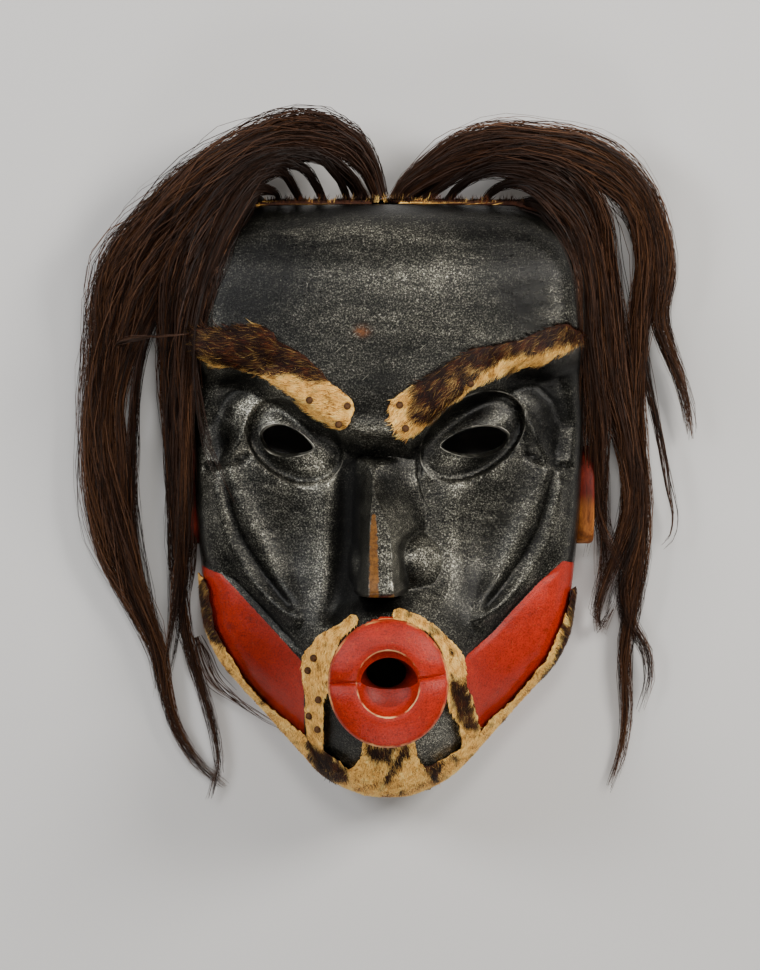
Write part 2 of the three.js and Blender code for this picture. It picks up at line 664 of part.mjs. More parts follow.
// Lock of hair: a flattened tube through points of x, y, z, breadth and thickness
function lockSolid(points) {
  const curve = new THREE.CatmullRomCurve3(points.map(([x, y, z]) => new THREE.Vector3(x, y, z)));
  const share = (i) => i / (points.length - 1);
  const breadth = smoothCurve(points.map((point, i) => [share(i), point[3]]));
  const thickness = smoothCurve(points.map((point, i) => [share(i), point[4]]));
  const tube = new THREE.CylinderGeometry(0.5, 0.5, 1, LOCK_SIDES, LOCK_STEPS);
  const place = tube.attributes.position;
  const up = new THREE.Vector3(0, 0, 1);
  for (let i = 0; i < place.count; i += 1) {
    const t = THREE.MathUtils.clamp(place.getY(i) + 0.5, 0, 1);
    const across = new THREE.Vector3().crossVectors(curve.getTangent(t), up).normalize();
    const point = curve.getPoint(t)
      .addScaledVector(across, place.getX(i) * breadth(t))
      .addScaledVector(up, place.getZ(i) * thickness(t));
    place.setXYZ(i, point.x, point.y, point.z);
  }
  return toSolid(tube);
}

function joined(solids) {
  return solids.reduce((whole, solid) => whole.add(solid));
}

const grooves = joined(GROOVES.map(grooveSolid));
const holes = joined([
  ...Object.values(EYES).map(eyeSolid),
  holeSolid(MOUTH, MOUTH_CORNERS, MOUTH_FLARE),
]);
const face = faceBlock(0)
  .subtract(hollow())
  .add(noseSolid())
  .add(lipsSolid(0).subtract(grooves))
  .subtract(holes);

// The hides are cut from a skin that wraps the wood at a small clearance
const grownLips = lipsSolid(GAP);
const skin = faceBlock(HIDE_RISE).subtract(faceBlock(GAP)).subtract(grownLips);
const hide = (outline, low, high) => skin.intersect(prism(outline, low, high));
const beard = prism(beardOutline(0), BEARD_LOW, OVER);
const beardRoom = prism(beardOutline(GAP), BEARD_LOW - GAP, OVER);
const pieces = {
  brow_hide_left: hide(stripOutline(BROWS.left, 10), BROW_LOW, OVER),
  brow_hide_right: hide(stripOutline(BROWS.right, 10), BROW_LOW, OVER),
  moustache_hide_left: hide(stripOutline(MOUSTACHES.left, 10), MOUSTACHE_LOW, OVER).subtract(beardRoom),
  moustache_hide_right: hide(stripOutline(MOUSTACHES.right, 10), MOUSTACHE_LOW, OVER).subtract(beardRoom),
  beard_hide: skin.intersect(beard),
  scalp_hide_left: hide(SCALP.left, SCALP.low, SCALP.high),
  scalp_hide_right: hide(SCALP.right, SCALP.low, SCALP.high),
};

// The group stands on its own middle: the centre of its whole box is on the Z axis
const mask = new THREE.Group();
function add(name, solid, colour) {
  const material = new THREE.MeshStandardMaterial({ color: colour, roughness: 0.6, metalness: 0 });
  const mesh = new THREE.Mesh(toGeometry(solid), material);
  mesh.name = name;
  mask.add(mesh);
}

add('mask_face', face, PAINT.black);
for (const [name, solid] of Object.entries(pieces)) add(name, solid, PAINT.hide);

const clearOfWood = faceBlock(GAP);
add('ear_left', earSolid(-1, 0).subtract(clearOfWood), PAINT.wood);
add('ear_right', earSolid(1, 0).subtract(clearOfWood), PAINT.wood);

const hairRoom = joined([faceBlock(HIDE_RISE + GAP), earSolid(-1, GAP), earSolid(1, GAP)]);
for (const [side, locks] of Object.entries(LOCKS)) {
  add(`hair_${side}`, joined(locks.map(lockSolid)).subtract(hairRoom), PAINT.hair);
}

// Pegs that fix the hides; each is trimmed to sit just clear of the hide
const pegRoom = faceBlock(HIDE_RISE + GAP).add(lipsSolid(2));
for (const [name, x, y] of PEGS) {
  const dome = new THREE.SphereGeometry(1, 6, 4);
  dome.rotateX(Math.PI / 2);
  dome.scale(PEG.radius, PEG.radius, PEG.rise);
  dome.translate(x, y, highestAround(x, y, HIDE_RISE) + HIDE_RISE + GAP);
  add(name, toSolid(dome).subtract(pegRoom), PAINT.peg);
}

const middle = new THREE.Box3().setFromObject(mask).getCenter(new THREE.Vector3());
mask.position.set(-middle.x, -middle.y, 0);

export default mask;
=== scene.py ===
"""Wild woman mask: the carved face, its hides, ears, pegs and hair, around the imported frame."""
import math

import bpy
import numpy as np
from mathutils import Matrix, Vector


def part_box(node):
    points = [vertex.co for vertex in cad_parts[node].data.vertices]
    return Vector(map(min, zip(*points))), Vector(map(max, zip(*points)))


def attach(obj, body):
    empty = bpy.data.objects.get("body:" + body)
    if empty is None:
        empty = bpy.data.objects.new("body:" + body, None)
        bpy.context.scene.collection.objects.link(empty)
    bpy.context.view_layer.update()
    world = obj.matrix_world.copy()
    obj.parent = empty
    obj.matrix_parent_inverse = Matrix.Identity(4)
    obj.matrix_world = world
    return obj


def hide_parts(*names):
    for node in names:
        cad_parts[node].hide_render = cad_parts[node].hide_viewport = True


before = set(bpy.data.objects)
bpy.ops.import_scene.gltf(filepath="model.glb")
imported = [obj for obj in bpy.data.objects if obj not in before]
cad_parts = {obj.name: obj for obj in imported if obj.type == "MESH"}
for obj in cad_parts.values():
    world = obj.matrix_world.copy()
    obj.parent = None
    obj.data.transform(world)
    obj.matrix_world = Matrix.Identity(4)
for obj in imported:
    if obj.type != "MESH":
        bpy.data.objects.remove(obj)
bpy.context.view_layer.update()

MM = 0.001
RNG = np.random.default_rng(7)

# The carving is worked out in millimetres about the middle of the face; the frame sits
# the whole object on its own middle, so the carving is shifted to where the face node is
FACE_TOP = 155.5
FACE_BOTTOM = -152.0
FACE_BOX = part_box("mask_face")
# The sides bulge a little at a share of their height and draw in again towards the back
SIDE_BULGE = 1.5
BULGE_SHARE = 0.55
BACK_TAPER = 3.0
SHIFT = Vector((
    (FACE_BOX[0][0] + FACE_BOX[1][0]) / 2,
    FACE_BOX[1][1] - (FACE_TOP + SIDE_BULGE) * MM,
    0.0,
))

# Photograph: width and height of its frame, where the middle of the face is, and its scale
PHOTO_WIDTH = 760
PHOTO_HEIGHT = 970
PHOTO_MIDDLE = (388.0, 502.0)
MM_PER_PIXEL = 0.52

WALL = 12.0
INNER_RADIUS = 14.0
HOLLOW_LOW = -5.0
# How far the skin that the hides are cut from goes down past the back rim
SKIN_BELOW = 1.0


def smooth_curve(knots):
    """Smooth curve through knots sorted by their first value, with no overshoot."""
    x = np.array([k[0] for k in knots], float)
    y = np.array([k[1] for k in knots], float)
    secant = np.diff(y) / np.diff(x)
    slope = np.empty_like(y)
    slope[0] = secant[0]
    slope[-1] = secant[-1]
    before, after = secant[:-1], secant[1:]
    same = before * after > 0
    total = np.where(same, before + after, 1.0)
    slope[1:-1] = np.where(same, 2 * before * after / total, 0.0)

    def curve(value):
        t = np.clip(np.asarray(value, float), x[0], x[-1])
        i = np.clip(np.searchsorted(x, t, side="right") - 1, 0, len(x) - 2)
        step = x[i + 1] - x[i]
        s = (t - x[i]) / step
        start = y[i] * (1 + 2 * s) * (1 - s) ** 2 + slope[i] * step * s * (1 - s) ** 2
        end = y[i + 1] * s * s * (3 - 2 * s) + slope[i + 1] * step * s * s * (s - 1)
        return start + end

    return curve


def unit(vectors):
    return vectors / np.maximum(np.linalg.norm(vectors, axis=-1, keepdims=True), 1e-6)


def smooth_step(low, high, value):
    t = np.clip((value - low) / (high - low), 0, 1)
    return t * t * (3 - 2 * t)


def bump(distance, breadth):
    return np.exp(-((distance / breadth) ** 2))


def chain_distance(x, y, points):
    """Distance to a chain of straight stretches."""
    best = np.full(np.shape(x), np.inf)
    for (ax, ay), (bx, by) in zip(points[:-1], points[1:]):
        dx, dy = bx - ax, by - ay
        t = np.clip(((x - ax) * dx + (y - ay) * dy) / (dx * dx + dy * dy), 0, 1)
        best = np.minimum(best, np.hypot(x - ax - t * dx, y - ay - t * dy))
    return best


# The same carving as the frame's face, from the same named sizes
half_width = smooth_curve([
    (-152, 10), (-147, 22), (-140, 33), (-130, 43), (-118, 54), (-107, 64), (-95, 75),
    (-80, 87), (-66, 93), (-50, 95.5), (-28, 98), (0, 101), (60, 102.5), (113, 102.5),
    (131, 98.5), (143, 90), (150, 81), (155.5, 66),
])
cheek_profile = smooth_curve([
    (-152, 58), (-138, 66), (-115, 72), (-90, 76), (-55, 75), (-30, 73), (0, 73), (40, 74), (156, 76),
])
forehead_profile = smooth_curve([
    (-152, 80), (30, 87), (42, 91.5), (60, 93.5), (90, 93), (115, 92.5), (135, 88), (156, 79),
])
brow_line = smooth_curve([
    (-103, 78), (-90, 71), (-77, 69), (-64, 64), (-54, 57.5), (-44, 49), (-35, 42), (-23, 37),
    (-9, 30), (8, 30), (15, 35.5), (22, 42), (31, 49.5), (47, 60), (62, 67), (76, 71.5),
    (90, 76), (103, 81),
])
BROW_STEP_BELOW = 12.0
BROW_STEP_ABOVE = 5.0
INNER_BROW_SHIFT = 14.0
side_fall = smooth_curve([(-152, 14), (-100, 30), (-50, 24), (0, 18), (60, 16), (156, 12)])
edge_radius = smooth_curve([(-152, 13), (-90, 13), (0, 15), (90, 17), (156, 22)])

EYES = {
    "left": {
        "socket": dict(x=-48.8, y=31.5, long=27.6, short=20.6, tilt=-33),
        "hole": dict(x=-52.5, y=32, long=13.6, short=6.8, tilt=-17, blunt=-0.3),
    },
    "right": {
        "socket": dict(x=44.2, y=34, long=30.3, short=20, tilt=34),
        "hole": dict(x=45.4, y=32, long=17, short=6.8, tilt=9, blunt=0.22),
    },
}
SOCKET_DEPTH = 11.0
SOCKET_SHAPE = 7.0
SHALLOW_END = 0.45
EYE_DOME = dict(rise=12.5, reach=0.94)
# Ridges stand out and grooves, with a height under nothing, are cut in: first those that are
# on both sides, then those about the nose
SIDE_RIDGES = [
    dict(points=[(60, 68), (76, 63), (86, 53), (90, 40), (88, 26)], height=-5.5, breadth=7.0),
    dict(points=[(71, 46), (76, 35), (83, 22)], height=2.6, breadth=3.6),
    dict(points=[(95, 18), (84, 20.5), (74, 24)], height=-2.4, breadth=1.9),
    dict(points=[(83, 14), (80, 4), (73, -11), (65.5, -25), (57, -40), (49, -56)], height=3.4,
         breadth=7.0),
    dict(points=[(86, 14), (83.5, 2), (78.5, -13), (71, -27), (62, -41), (52, -54)], height=-2.0,
         breadth=2.8),
    dict(points=[(90, 6), (88, -4), (84, -20), (73, -38), (60, -53), (48, -61)], height=2.3,
         breadth=3.4),
    dict(points=[(98, -30), (80, -41), (66, -55), (54, -68), (41, -80)], height=-1.3, breadth=1.6),
    dict(points=[(33, 2), (34, -25), (36, -45)], height=1.6, breadth=9.0),
]
MIDDLE_RIDGES = [
    dict(points=[(-22, 16), (-22, -20), (-24, -45), (-28, -57)], height=-6.0, breadth=6.0),
    dict(points=[(24, 8), (25, -20), (26, -44)], height=-1.2, breadth=6.0),
    dict(points=[(16.3, 21), (17.2, 15)], height=-2.0, breadth=1.4),
    dict(points=[(-20, 37), (-8, 38), (5, 37)], height=2.0, breadth=4.0),
]
CHEEK = dict(x=50, y=-20, wide=16, tall=28, depth=3.5)
MUZZLE = dict(x=0, y=-92, wide=43, tall=46, rise=30)
FOREHEAD = dict(x=6, y=110, wide=60, tall=34, rise=3)

NOSE_TOP = 24.0
NOSE_REACH = 30.0
NOSE_BOTTOM = -48.5
nose_ridge_x = smooth_curve([(-48.5, -3.6), (-20, -4), (0, -6.5), (12, -7.6), (24, -7)])
nose_ridge_z = smooth_curve([
    (-48.5, 118.5), (-46, 120.5), (-25, 112), (0, 98), (12, 90), (19, 85.5), (21.8, 81.5), (24, 74),
])
nose_front = smooth_curve([(-48.5, 6.4), (-20, 5.6), (-4, 3), (5, 0.8), (12, 0.4), (24, 6)])
nose_slope_left = smooth_curve([(-48.5, 5.2), (-25, 4.4), (0, 2.8), (12, 2.0), (24, 1.2)])
nose_slope_right = smooth_curve([(-48.5, 4.5), (-28, 4), (-14, 2), (0, 1.25), (12, 0.8), (24, 0.75)])
nose_left = smooth_curve([(-48.5, -17.5), (-20, -18), (0, -18), (12, -17), (24, -16)])
nose_right = smooth_curve([(-48.5, 21), (-20, 24), (0, 19), (12, 15.2), (24, 14)])
nose_foot = smooth_curve([(-20, -44), (-13, -47.5), (-6, -48.5), (0, -47.8), (6, -45), (12, -42.5),
                          (24, -38)])
NOSTRILS = [
    dict(x=4, y=-31, wide=24, tall=19, top=92, fall=18),
    dict(x=-13.6, y=-33, wide=7, tall=15, top=95, fall=22),
]
NOSTRIL_BLEND = 3.5
NOSE_SUNK = 0.6
NOSE_FILLETS = dict(left=0.5, right=7.0)
NOSE_ROOT = 0.8
# How steeply the nose falls away past its foot and its sides
NOSE_FOOT_DROP = 3
NOSE_SIDE_DROP = 5

# Eye holes: how much wider they are at the front, the height where they are narrowest, the
# height over which they widen, their number of sides and how pointed they are
EYE_FLARE = dict(above=0.4, below=2.0, along=1.4)
EYE_NECK = 58.0
EYE_FLARE_HEIGHT = 5.0
EYE_SIDES = 72
EYE_POINT = 1.3
MOUTH = dict(x=-0.8, y=-87.5, long=10.1, short=7.8)
MOUTH_CORNERS = dict(x=0.6, y=-91.3, long=14.6, short=12.0, below=4.4)
MOUTH_NECK = 98.0
MOUTH_BOWL = 108.0
MOUTH_SIDES = 96
CORNER_POINT = 1.15
# Heights between which the holes are cut
CUT_LOW = 20.0
CUT_HIGH = 140.0

LIPS = dict(x=0, y=-92.6, wide=30.9, tall=32.9, back=96.0, neck=27.0)
LIPS_EDGE = 108.5
LIPS_SIDES = 220
LIPS_FOOT = 0.985
# Rings of the lips as shares of the disc, closest together round the edge of the bowl
LIPS_RINGS = [*np.linspace(1, 0.56, 24), *np.linspace(0.545, 0.44, 12), *np.linspace(0.42, 0.04, 14)]
lips_profile = smooth_curve([
    (0.0, 108.6), (0.2, 109.2), (0.3, 110.3), (0.4, 112.4), (0.47, 114.9), (0.508, 117.0),
    (0.522, 117.7), (0.54, 118.1), (0.6, 118.3), (0.72, 117.6), (0.85, 116.2), (0.94, 114.8),
    (0.975, 113.9), (1.0, 112.6),
])
GROOVE = dict(left=-92.3, right=-90.6, rise=0.12, bend=12, depth=1.9, breadth=0.8,
              valley=1.5, valley_breadth=4.5, inner=0.44, outer=0.53)

# Columns and rows of the grids of heights, and how much they crowd towards the edges
FACE_GRID = (190, 290)
HOLLOW_GRID = (60, 90)
NOSE_GRID = (90, 110)
COLUMN_PULL = 0.35
ROW_PULL = 0.4
# Edges sharper than this many degrees stay sharp
CREASE_ANGLE = 40


def away_from(form, x, y):
    """Distance from the middle of an upright oval, 1 on its edge."""
    return np.hypot((x - form["x"]) / form["wide"], (y - form["y"]) / form["tall"])


def oval_place(oval, x, y):
    """Place along and across a tilted oval, 1 on its edge."""
    turn = math.radians(oval["tilt"])
    along = (x - oval["x"]) * math.cos(turn) + (y - oval["y"]) * math.sin(turn)
    across = (y - oval["y"]) * math.cos(turn) - (x - oval["x"]) * math.sin(turn)
    return along / oval["long"], across / oval["short"]


def oval_radius(oval, x, y):
    """Distance from the middle of a tilted oval, 1 on its edge."""
    return np.hypot(*oval_place(oval, x, y))


def face_outline(steps=60):
    y = np.linspace(FACE_BOTTOM, FACE_TOP, steps + 1)
    right = list(zip(half_width(y), y))
    left = [(-x, y) for x, y in reversed(right)]
    return right + left + right[:1]


OUTLINE = face_outline()


def roll(distance, radius):
    """Height lost where a surface rolls over its edge with a quarter round."""
    inward = np.clip(distance / radius, 0, 1)
    return radius * (1 - np.sqrt(1 - (1 - inward) ** 2))


def broad_height(x, y, shift):
    """Broad form of the face without its carved detail."""
    brow = smooth_step(-BROW_STEP_BELOW, BROW_STEP_ABOVE, y - brow_line(x) - shift)
    centre = cheek_profile(y) * (1 - brow) + forehead_profile(y) * brow
    across = np.abs(x) / half_width(y)
    rise = MUZZLE["rise"] * bump(away_from(MUZZLE, x, y) ** 1.5, 1)
    return centre - side_fall(y) * across ** 2 + rise


def face_height(x, y):
    """Height of the carved surface, without the nose and the lips."""
    z = broad_height(x, y, 0) - roll(chain_distance(x, y, OUTLINE), edge_radius(y))
    z = z + FOREHEAD["rise"] * bump(away_from(FOREHEAD, x, y), 1)
    for name, eye in EYES.items():
        here = x < 0 if name == "left" else x >= 0
        along, across = oval_place(eye["socket"], x, y)
        socket = np.hypot(along, across)
        towards_nose = along if name == "left" else -along
        depth = SOCKET_DEPTH * (1 - SHALLOW_END * smooth_step(0, 1, towards_nose))
        hollow = depth * (1 - np.minimum(socket, 1) ** SOCKET_SHAPE)
        dome = EYE_DOME["rise"] * (1 - np.minimum(socket / EYE_DOME["reach"], 1) ** 2)
        z = z + np.where(here, dome - hollow, 0)
    for ridges, across in ((SIDE_RIDGES, np.abs(x)), (MIDDLE_RIDGES, x)):
        for ridge in ridges:
            distance = chain_distance(across, y, ridge["points"])
            z = z + ridge["height"] * bump(distance, ridge["breadth"])
    return z - CHEEK["depth"] * bump(away_from(CHEEK, np.abs(x), y) ** 1.5, 1)


def nose_height(x, y):
    """Height of the nose: a ridge with sloping sides, and a lobe for each nostril."""
    aside = x - nose_ridge_x(y)
    slope = np.where(aside < 0, nose_slope_left(y), nose_slope_right(y))
    ridge = nose_ridge_z(y) - slope * np.maximum(0, np.abs(aside) - nose_front(y))
    beyond = np.maximum(0, np.maximum(x - nose_right(y), nose_left(y) - x))
    height = ridge - NOSE_FOOT_DROP * np.maximum(0, nose_foot(x) - y) - NOSE_SIDE_DROP * beyond
    for lobe in NOSTRILS:
        away = away_from(lobe, x, y)
        wing = lobe["top"] - lobe["fall"] * away ** 2
        height = soft_max(height, np.where(away < 1, wing, 0), NOSTRIL_BLEND)
    return height


def soft_max(a, b, blend):
    """The greater of two heights, with the crease between them filled a little."""
    share = np.clip(0.5 + 0.5 * (a - b) / blend, 0, 1)
    return b + (a - b) * share + blend * share * (1 - share)


def crowded(share, pull):
    """A share from 0 to 1, drawn towards its nearer end."""
    return share - pull * np.sin(2 * math.pi * share) / (2 * math.pi)


def link_object(name, data):
    piece = bpy.data.objects.new(name, data)
    bpy.context.scene.collection.objects.link(piece)
    return piece


def mesh_object(name, points, faces):
    """New object from points in millimetres of the carving."""
    mesh = bpy.data.meshes.new(name)
    mesh.from_pydata((np.asarray(points) * MM + np.array(SHIFT)).tolist(), [], faces)
    mesh.validate()
    return link_object(name, mesh)


def grid_block(name, grid, place, rings):
    """Closed block under a grid of heights, as in the frame's own solid."""
    columns, rows = grid
    u, v = np.meshgrid(np.linspace(0, 1, columns + 1), np.linspace(0, 1, rows + 1))
    x, y, z = (a.ravel() for a in place(u, v))
    points = [np.stack([x, y, z], 1)]
    index = np.arange((columns + 1) * (rows + 1)).reshape(rows + 1, columns + 1)
    faces = np.stack([index[:-1, :-1], index[:-1, 1:], index[1:, 1:], index[1:, :-1]], -1)
    faces = [faces.reshape(-1, 4).tolist()]
    loop = np.concatenate([index[0, :-1], index[:-1, -1], index[-1, :0:-1], index[:0:-1, 0]])
    edge = points[0][loop]
    count = len(points[0])
    for ring in rings:
        points.append(np.stack(ring(*edge.T), 1))
        below = np.arange(count, count + len(loop))
        after, below_after = np.roll(loop, -1), np.roll(below, -1)
        faces.append(np.stack([loop, below, below_after, after], 1).tolist())
        loop = below
        count += len(loop)
    points.append(np.array([[0, 0, points[-1][:, 2].min()]]))
    faces.append([[a, count, b] for a, b in zip(loop, np.roll(loop, -1))])
    return mesh_object(name, np.concatenate(points), sum(faces, []))


def crowded_place(u, v, bottom, top):
    """Share of the half breadth and height on the face of a place in a grid."""
    return 2 * crowded(u, COLUMN_PULL) - 1, bottom + (top - bottom) * crowded(v, ROW_PULL)


def shrunk(x, y, inward):
    share = 1 - inward / np.hypot(x, y)
    return x * share, y * share


def face_block(name, grow):
    """The face as a full block, grown on all sides by a distance."""
    floor = -SKIN_BELOW if grow else 0.0
    tall = FACE_TOP - FACE_BOTTOM
    middle = (FACE_TOP + FACE_BOTTOM) / 2
    stretch = (tall + 2 * grow) / tall

    def place(u, v):
        share, y = crowded_place(u, v, FACE_BOTTOM, FACE_TOP)
        z = face_height(share * half_width(y), y) + grow
        return share * (half_width(y) + grow), middle + (y - middle) * stretch, z

    return grid_block(name, FACE_GRID, place, [
        lambda x, y, z: (*shrunk(x, y, -SIDE_BULGE), z * BULGE_SHARE),
        lambda x, y, z: (*shrunk(x, y, BACK_TAPER), z * 0 + floor),
    ])


def hollow_block():
    """What is cut out of the back: the broad form, a wall's thickness further in."""
    def place(u, v):
        share, y = crowded_place(u, v, FACE_BOTTOM + WALL, FACE_TOP - WALL)
        x = share * (half_width(y) - WALL)
        inner = roll(chain_distance(x, y, OUTLINE) - WALL, INNER_RADIUS)
        return x, y, broad_height(x, y, INNER_BROW_SHIFT) - WALL - inner

    return grid_block("hollow", HOLLOW_GRID, place, [lambda x, y, z: (x, y, z * 0 + HOLLOW_LOW)])


def nose_on_face(x, y):
    """Height of the nose where it stands on the face, with fillets between them."""
    fillet = np.where(x < nose_ridge_x(y), NOSE_FILLETS["left"], NOSE_FILLETS["right"])
    return soft_max(nose_height(x, y), face_height(x, y) - NOSE_SUNK, fillet)


def nose_block():
    def place(u, v):
        x = NOSE_REACH * (2 * u - 1)
        y = NOSE_BOTTOM + (NOSE_TOP - NOSE_BOTTOM) * v
        return x, y, nose_on_face(x, y)

    return grid_block("nose", NOSE_GRID, place, [
        lambda x, y, z: (x, y, broad_height(x, y, 0) - WALL * NOSE_ROOT),
    ])


def lips_height(x, y):
    """Height of the lips: two round lips that meet in a groove on either side of the mouth."""
    share = away_from(LIPS, x, y)
    line = np.where(x < 0, GROOVE["left"], GROOVE["right"] + GROOVE["rise"] * (x - GROOVE["bend"]))
    out = smooth_step(GROOVE["inner"], GROOVE["outer"], share)
    cut = GROOVE["depth"] * bump(y - line, GROOVE["breadth"])
    cut = cut + GROOVE["valley"] * bump(y - line, GROOVE["valley_breadth"])
    return lips_profile(share) - out * cut


def ring_faces(count, around):
    """Numbers of the points in rings, and the faces between the rings."""
    index = np.arange(count * around).reshape(count, around)
    after = np.roll(index, -1, 1)
    return index, after, np.stack([index[:-1], after[:-1], after[1:], index[1:]], -1).reshape(-1, 4)


def lips_block(grow=0.0):
    """The disc of the lips, standing on a narrower neck."""
    angle = np.linspace(0, 2 * math.pi, LIPS_SIDES, endpoint=False)

    def ring(share, wide, tall):
        return LIPS["x"] + wide * share * np.cos(angle), LIPS["y"] + tall * share * np.sin(angle)

    neck = LIPS["neck"] / LIPS["wide"]
    rings = [(neck, LIPS["back"] - grow), (LIPS_FOOT, LIPS_EDGE - grow), (1.0, LIPS_EDGE + 1)]
    rings = [(share, np.full(LIPS_SIDES, z)) for share, z in rings]
    for share in LIPS_RINGS:
        rings.append((share, lips_height(*ring(share, LIPS["wide"], LIPS["tall"])) + grow))
    points = [[[LIPS["x"], LIPS["y"], LIPS["back"] - grow]]]
    for share, z in rings:
        points.append(np.stack([*ring(share, LIPS["wide"] + grow, LIPS["tall"] + grow), z], 1))
    points.append([[LIPS["x"], LIPS["y"], float(rings[-1][1].mean())]])
    index, after, quads = ring_faces(len(rings), LIPS_SIDES)
    faces = (quads + 1).tolist()
    faces += [[0, b + 1, a + 1] for a, b in zip(index[0], after[0])]
    faces += [[a + 1, b + 1, 1 + index.size] for a, b in zip(index[-1], after[-1])]
    return mesh_object("lips", np.concatenate(points), faces)


def loft(name, rings):
    """Solid through outlines with the same number of points, from the lowest to the highest."""
    count = len(rings[0][0])
    points = [(x, y, z) for outline, z in rings for x, y in outline]
    top = count * (len(rings) - 1)
    faces = [list(range(count))[::-1], list(range(top, top + count))]
    for start in range(0, top, count):
        for k in range(count):
            n = (k + 1) % count
            faces.append([start + k, start + n, start + count + n, start + count + k])
    return mesh_object(name, points, faces)


def prism(name, outline, low, high):
    """Upright prism over an outline."""
    following = outline[1:] + outline[:1]
    if sum(ax * by - bx * ay for (ax, ay), (bx, by) in zip(outline, following)) < 0:
        outline = outline[::-1]
    return loft(name, [(outline, low), (outline, high)])


def oval_points(oval, count, point):
    """Points of a tilted oval; a pointed one is an almond, flatter below or blunter at an end."""
    turn = math.radians(oval.get("tilt", 0))
    points = []
    for i in range(count):
        angle = 2 * math.pi * i / count
        along = oval["long"] * math.cos(angle)
        short = oval["short"] if math.sin(angle) > 0 else oval.get("below", oval["short"])
        across = short * math.copysign(abs(math.sin(angle)) ** point, math.sin(angle))
        across *= 1 + oval.get("blunt", 0) * math.cos(angle)
        points.append((
            oval["x"] + along * math.cos(turn) - across * math.sin(turn),
            oval["y"] + along * math.sin(turn) + across * math.cos(turn),
        ))
    return points


def combine(base, tool, operation):
    """Joins or cuts a closed mesh with another and drops the tool."""
    modifier = base.modifiers.new("combine", "BOOLEAN")
    modifier.operation = operation
    modifier.solver = "MANIFOLD"
    modifier.object = tool
    apply_modifiers(base)
    bpy.data.objects.remove(tool)


def apply_modifiers(piece):
    graph = bpy.context.evaluated_depsgraph_get()
    mesh = bpy.data.meshes.new_from_object(piece.evaluated_get(graph))
    piece.modifiers.clear()
    piece.data = mesh
    mesh.materials.clear()
    mesh.polygons.foreach_set("material_index", np.zeros(len(mesh.polygons), np.int32))


def smooth_shade(piece):
    piece.data.polygons.foreach_set("use_smooth", np.ones(len(piece.data.polygons), bool))
    piece.data.set_sharp_from_angle(angle=math.radians(CREASE_ANGLE))


def eye_edges(eye):
    """Edge of an eye hole inside, and at the front, where it is wider and most of all below."""
    hole = eye["hole"]
    front = dict(
        hole, long=hole["long"] + EYE_FLARE["along"], short=hole["short"] + EYE_FLARE["above"],
        below=hole["short"] + EYE_FLARE["below"],
    )
    return oval_points(hole, EYE_SIDES, EYE_POINT), oval_points(front, EYE_SIDES, EYE_POINT)


def cut_hole(face, inner, outer, neck, front):
    """Cuts a hole that opens from its inner edge at the neck to its outer edge further up."""
    rings = [(inner, CUT_LOW), (inner, neck), (outer, front), (outer, CUT_HIGH)]
    combine(face, loft("hole", rings), "DIFFERENCE")


def carve_face():
    face = face_block("mask_face_carving", 0)
    combine(face, hollow_block(), "DIFFERENCE")
    combine(face, nose_block(), "UNION")
    combine(face, lips_block(), "UNION")
    for eye in EYES.values():
        cut_hole(face, *eye_edges(eye), EYE_NECK, EYE_NECK + EYE_FLARE_HEIGHT)
    corners = oval_points(MOUTH_CORNERS, MOUTH_SIDES, CORNER_POINT)
    cut_hole(face, oval_points(MOUTH, MOUTH_SIDES, 1.0), corners, MOUTH_NECK, MOUTH_BOWL)
    smooth_shade(face)
    return face


# The painted places, in millimetres about the middle of the face
JAW_PATCHES = {
    "left": [
        (-99, -33), (-95, -35), (-86.8, -38), (-43.7, -83.7), (-43.7, -126), (-54, -120), (-65, -111),
        (-78, -100), (-92, -84), (-99, -68), (-104, -45),
    ],
    "right": [
        (91.5, -31), (98, -32), (104, -50), (99, -70), (90, -87), (75, -101), (64, -113), (52, -124),
        (45, -122), (40, -103.5), (38, -86.3), (40.6, -79.6), (54.6, -68), (66.6, -55), (79.6, -41.6),
    ],
}
NOSE_WEAR = [(-7.4, -7), (-7.5, -20), (-7.2, -47)]
nose_wear_breadth = smooth_curve([(-48, 3.1), (-20, 2.5), (-7, 1.2)])
# Valley left of the nose, painted darker, duller and less metallic: painted shade of the nose
NOSE_VALLEY_SHADE_WAY = [(-21, 16), (-21.5, -20), (-22, -46)]
NOSE_VALLEY_SHADE_BREADTH = 6.5
NOSE_WEAR_LOW = 84.0
# Scratches in the paint; the one from (-7.6, 11) to (-8, -7) is a painted highlight down the nose ridge
SCRATCHES_AND_NOSE_HIGHLIGHT = [
    [(80, 112), (90, 107)], [(83, 108), (87, 112)], [(86, 105), (91, 103)], [(-30, 74), (-12, 92)],
    [(8, 70), (22, 84)], [(-58, 116), (-44, 108)], [(30, 96), (44, 101)], [(-14, 62), (-6, 70)],
    [(52, 84), (60, 92)], [(-2, 128), (16, 124)], [(-7.6, 11), (-8, -7)], [(62, -24), (58, -44)],
    [(-66, -6), (-60, -22)], [(34, -12), (40, -30)], [(-38, -22), (-33, -40)],
]
STAIN = dict(x=-13.5, y=88, wide=3.2, flat=1.4)
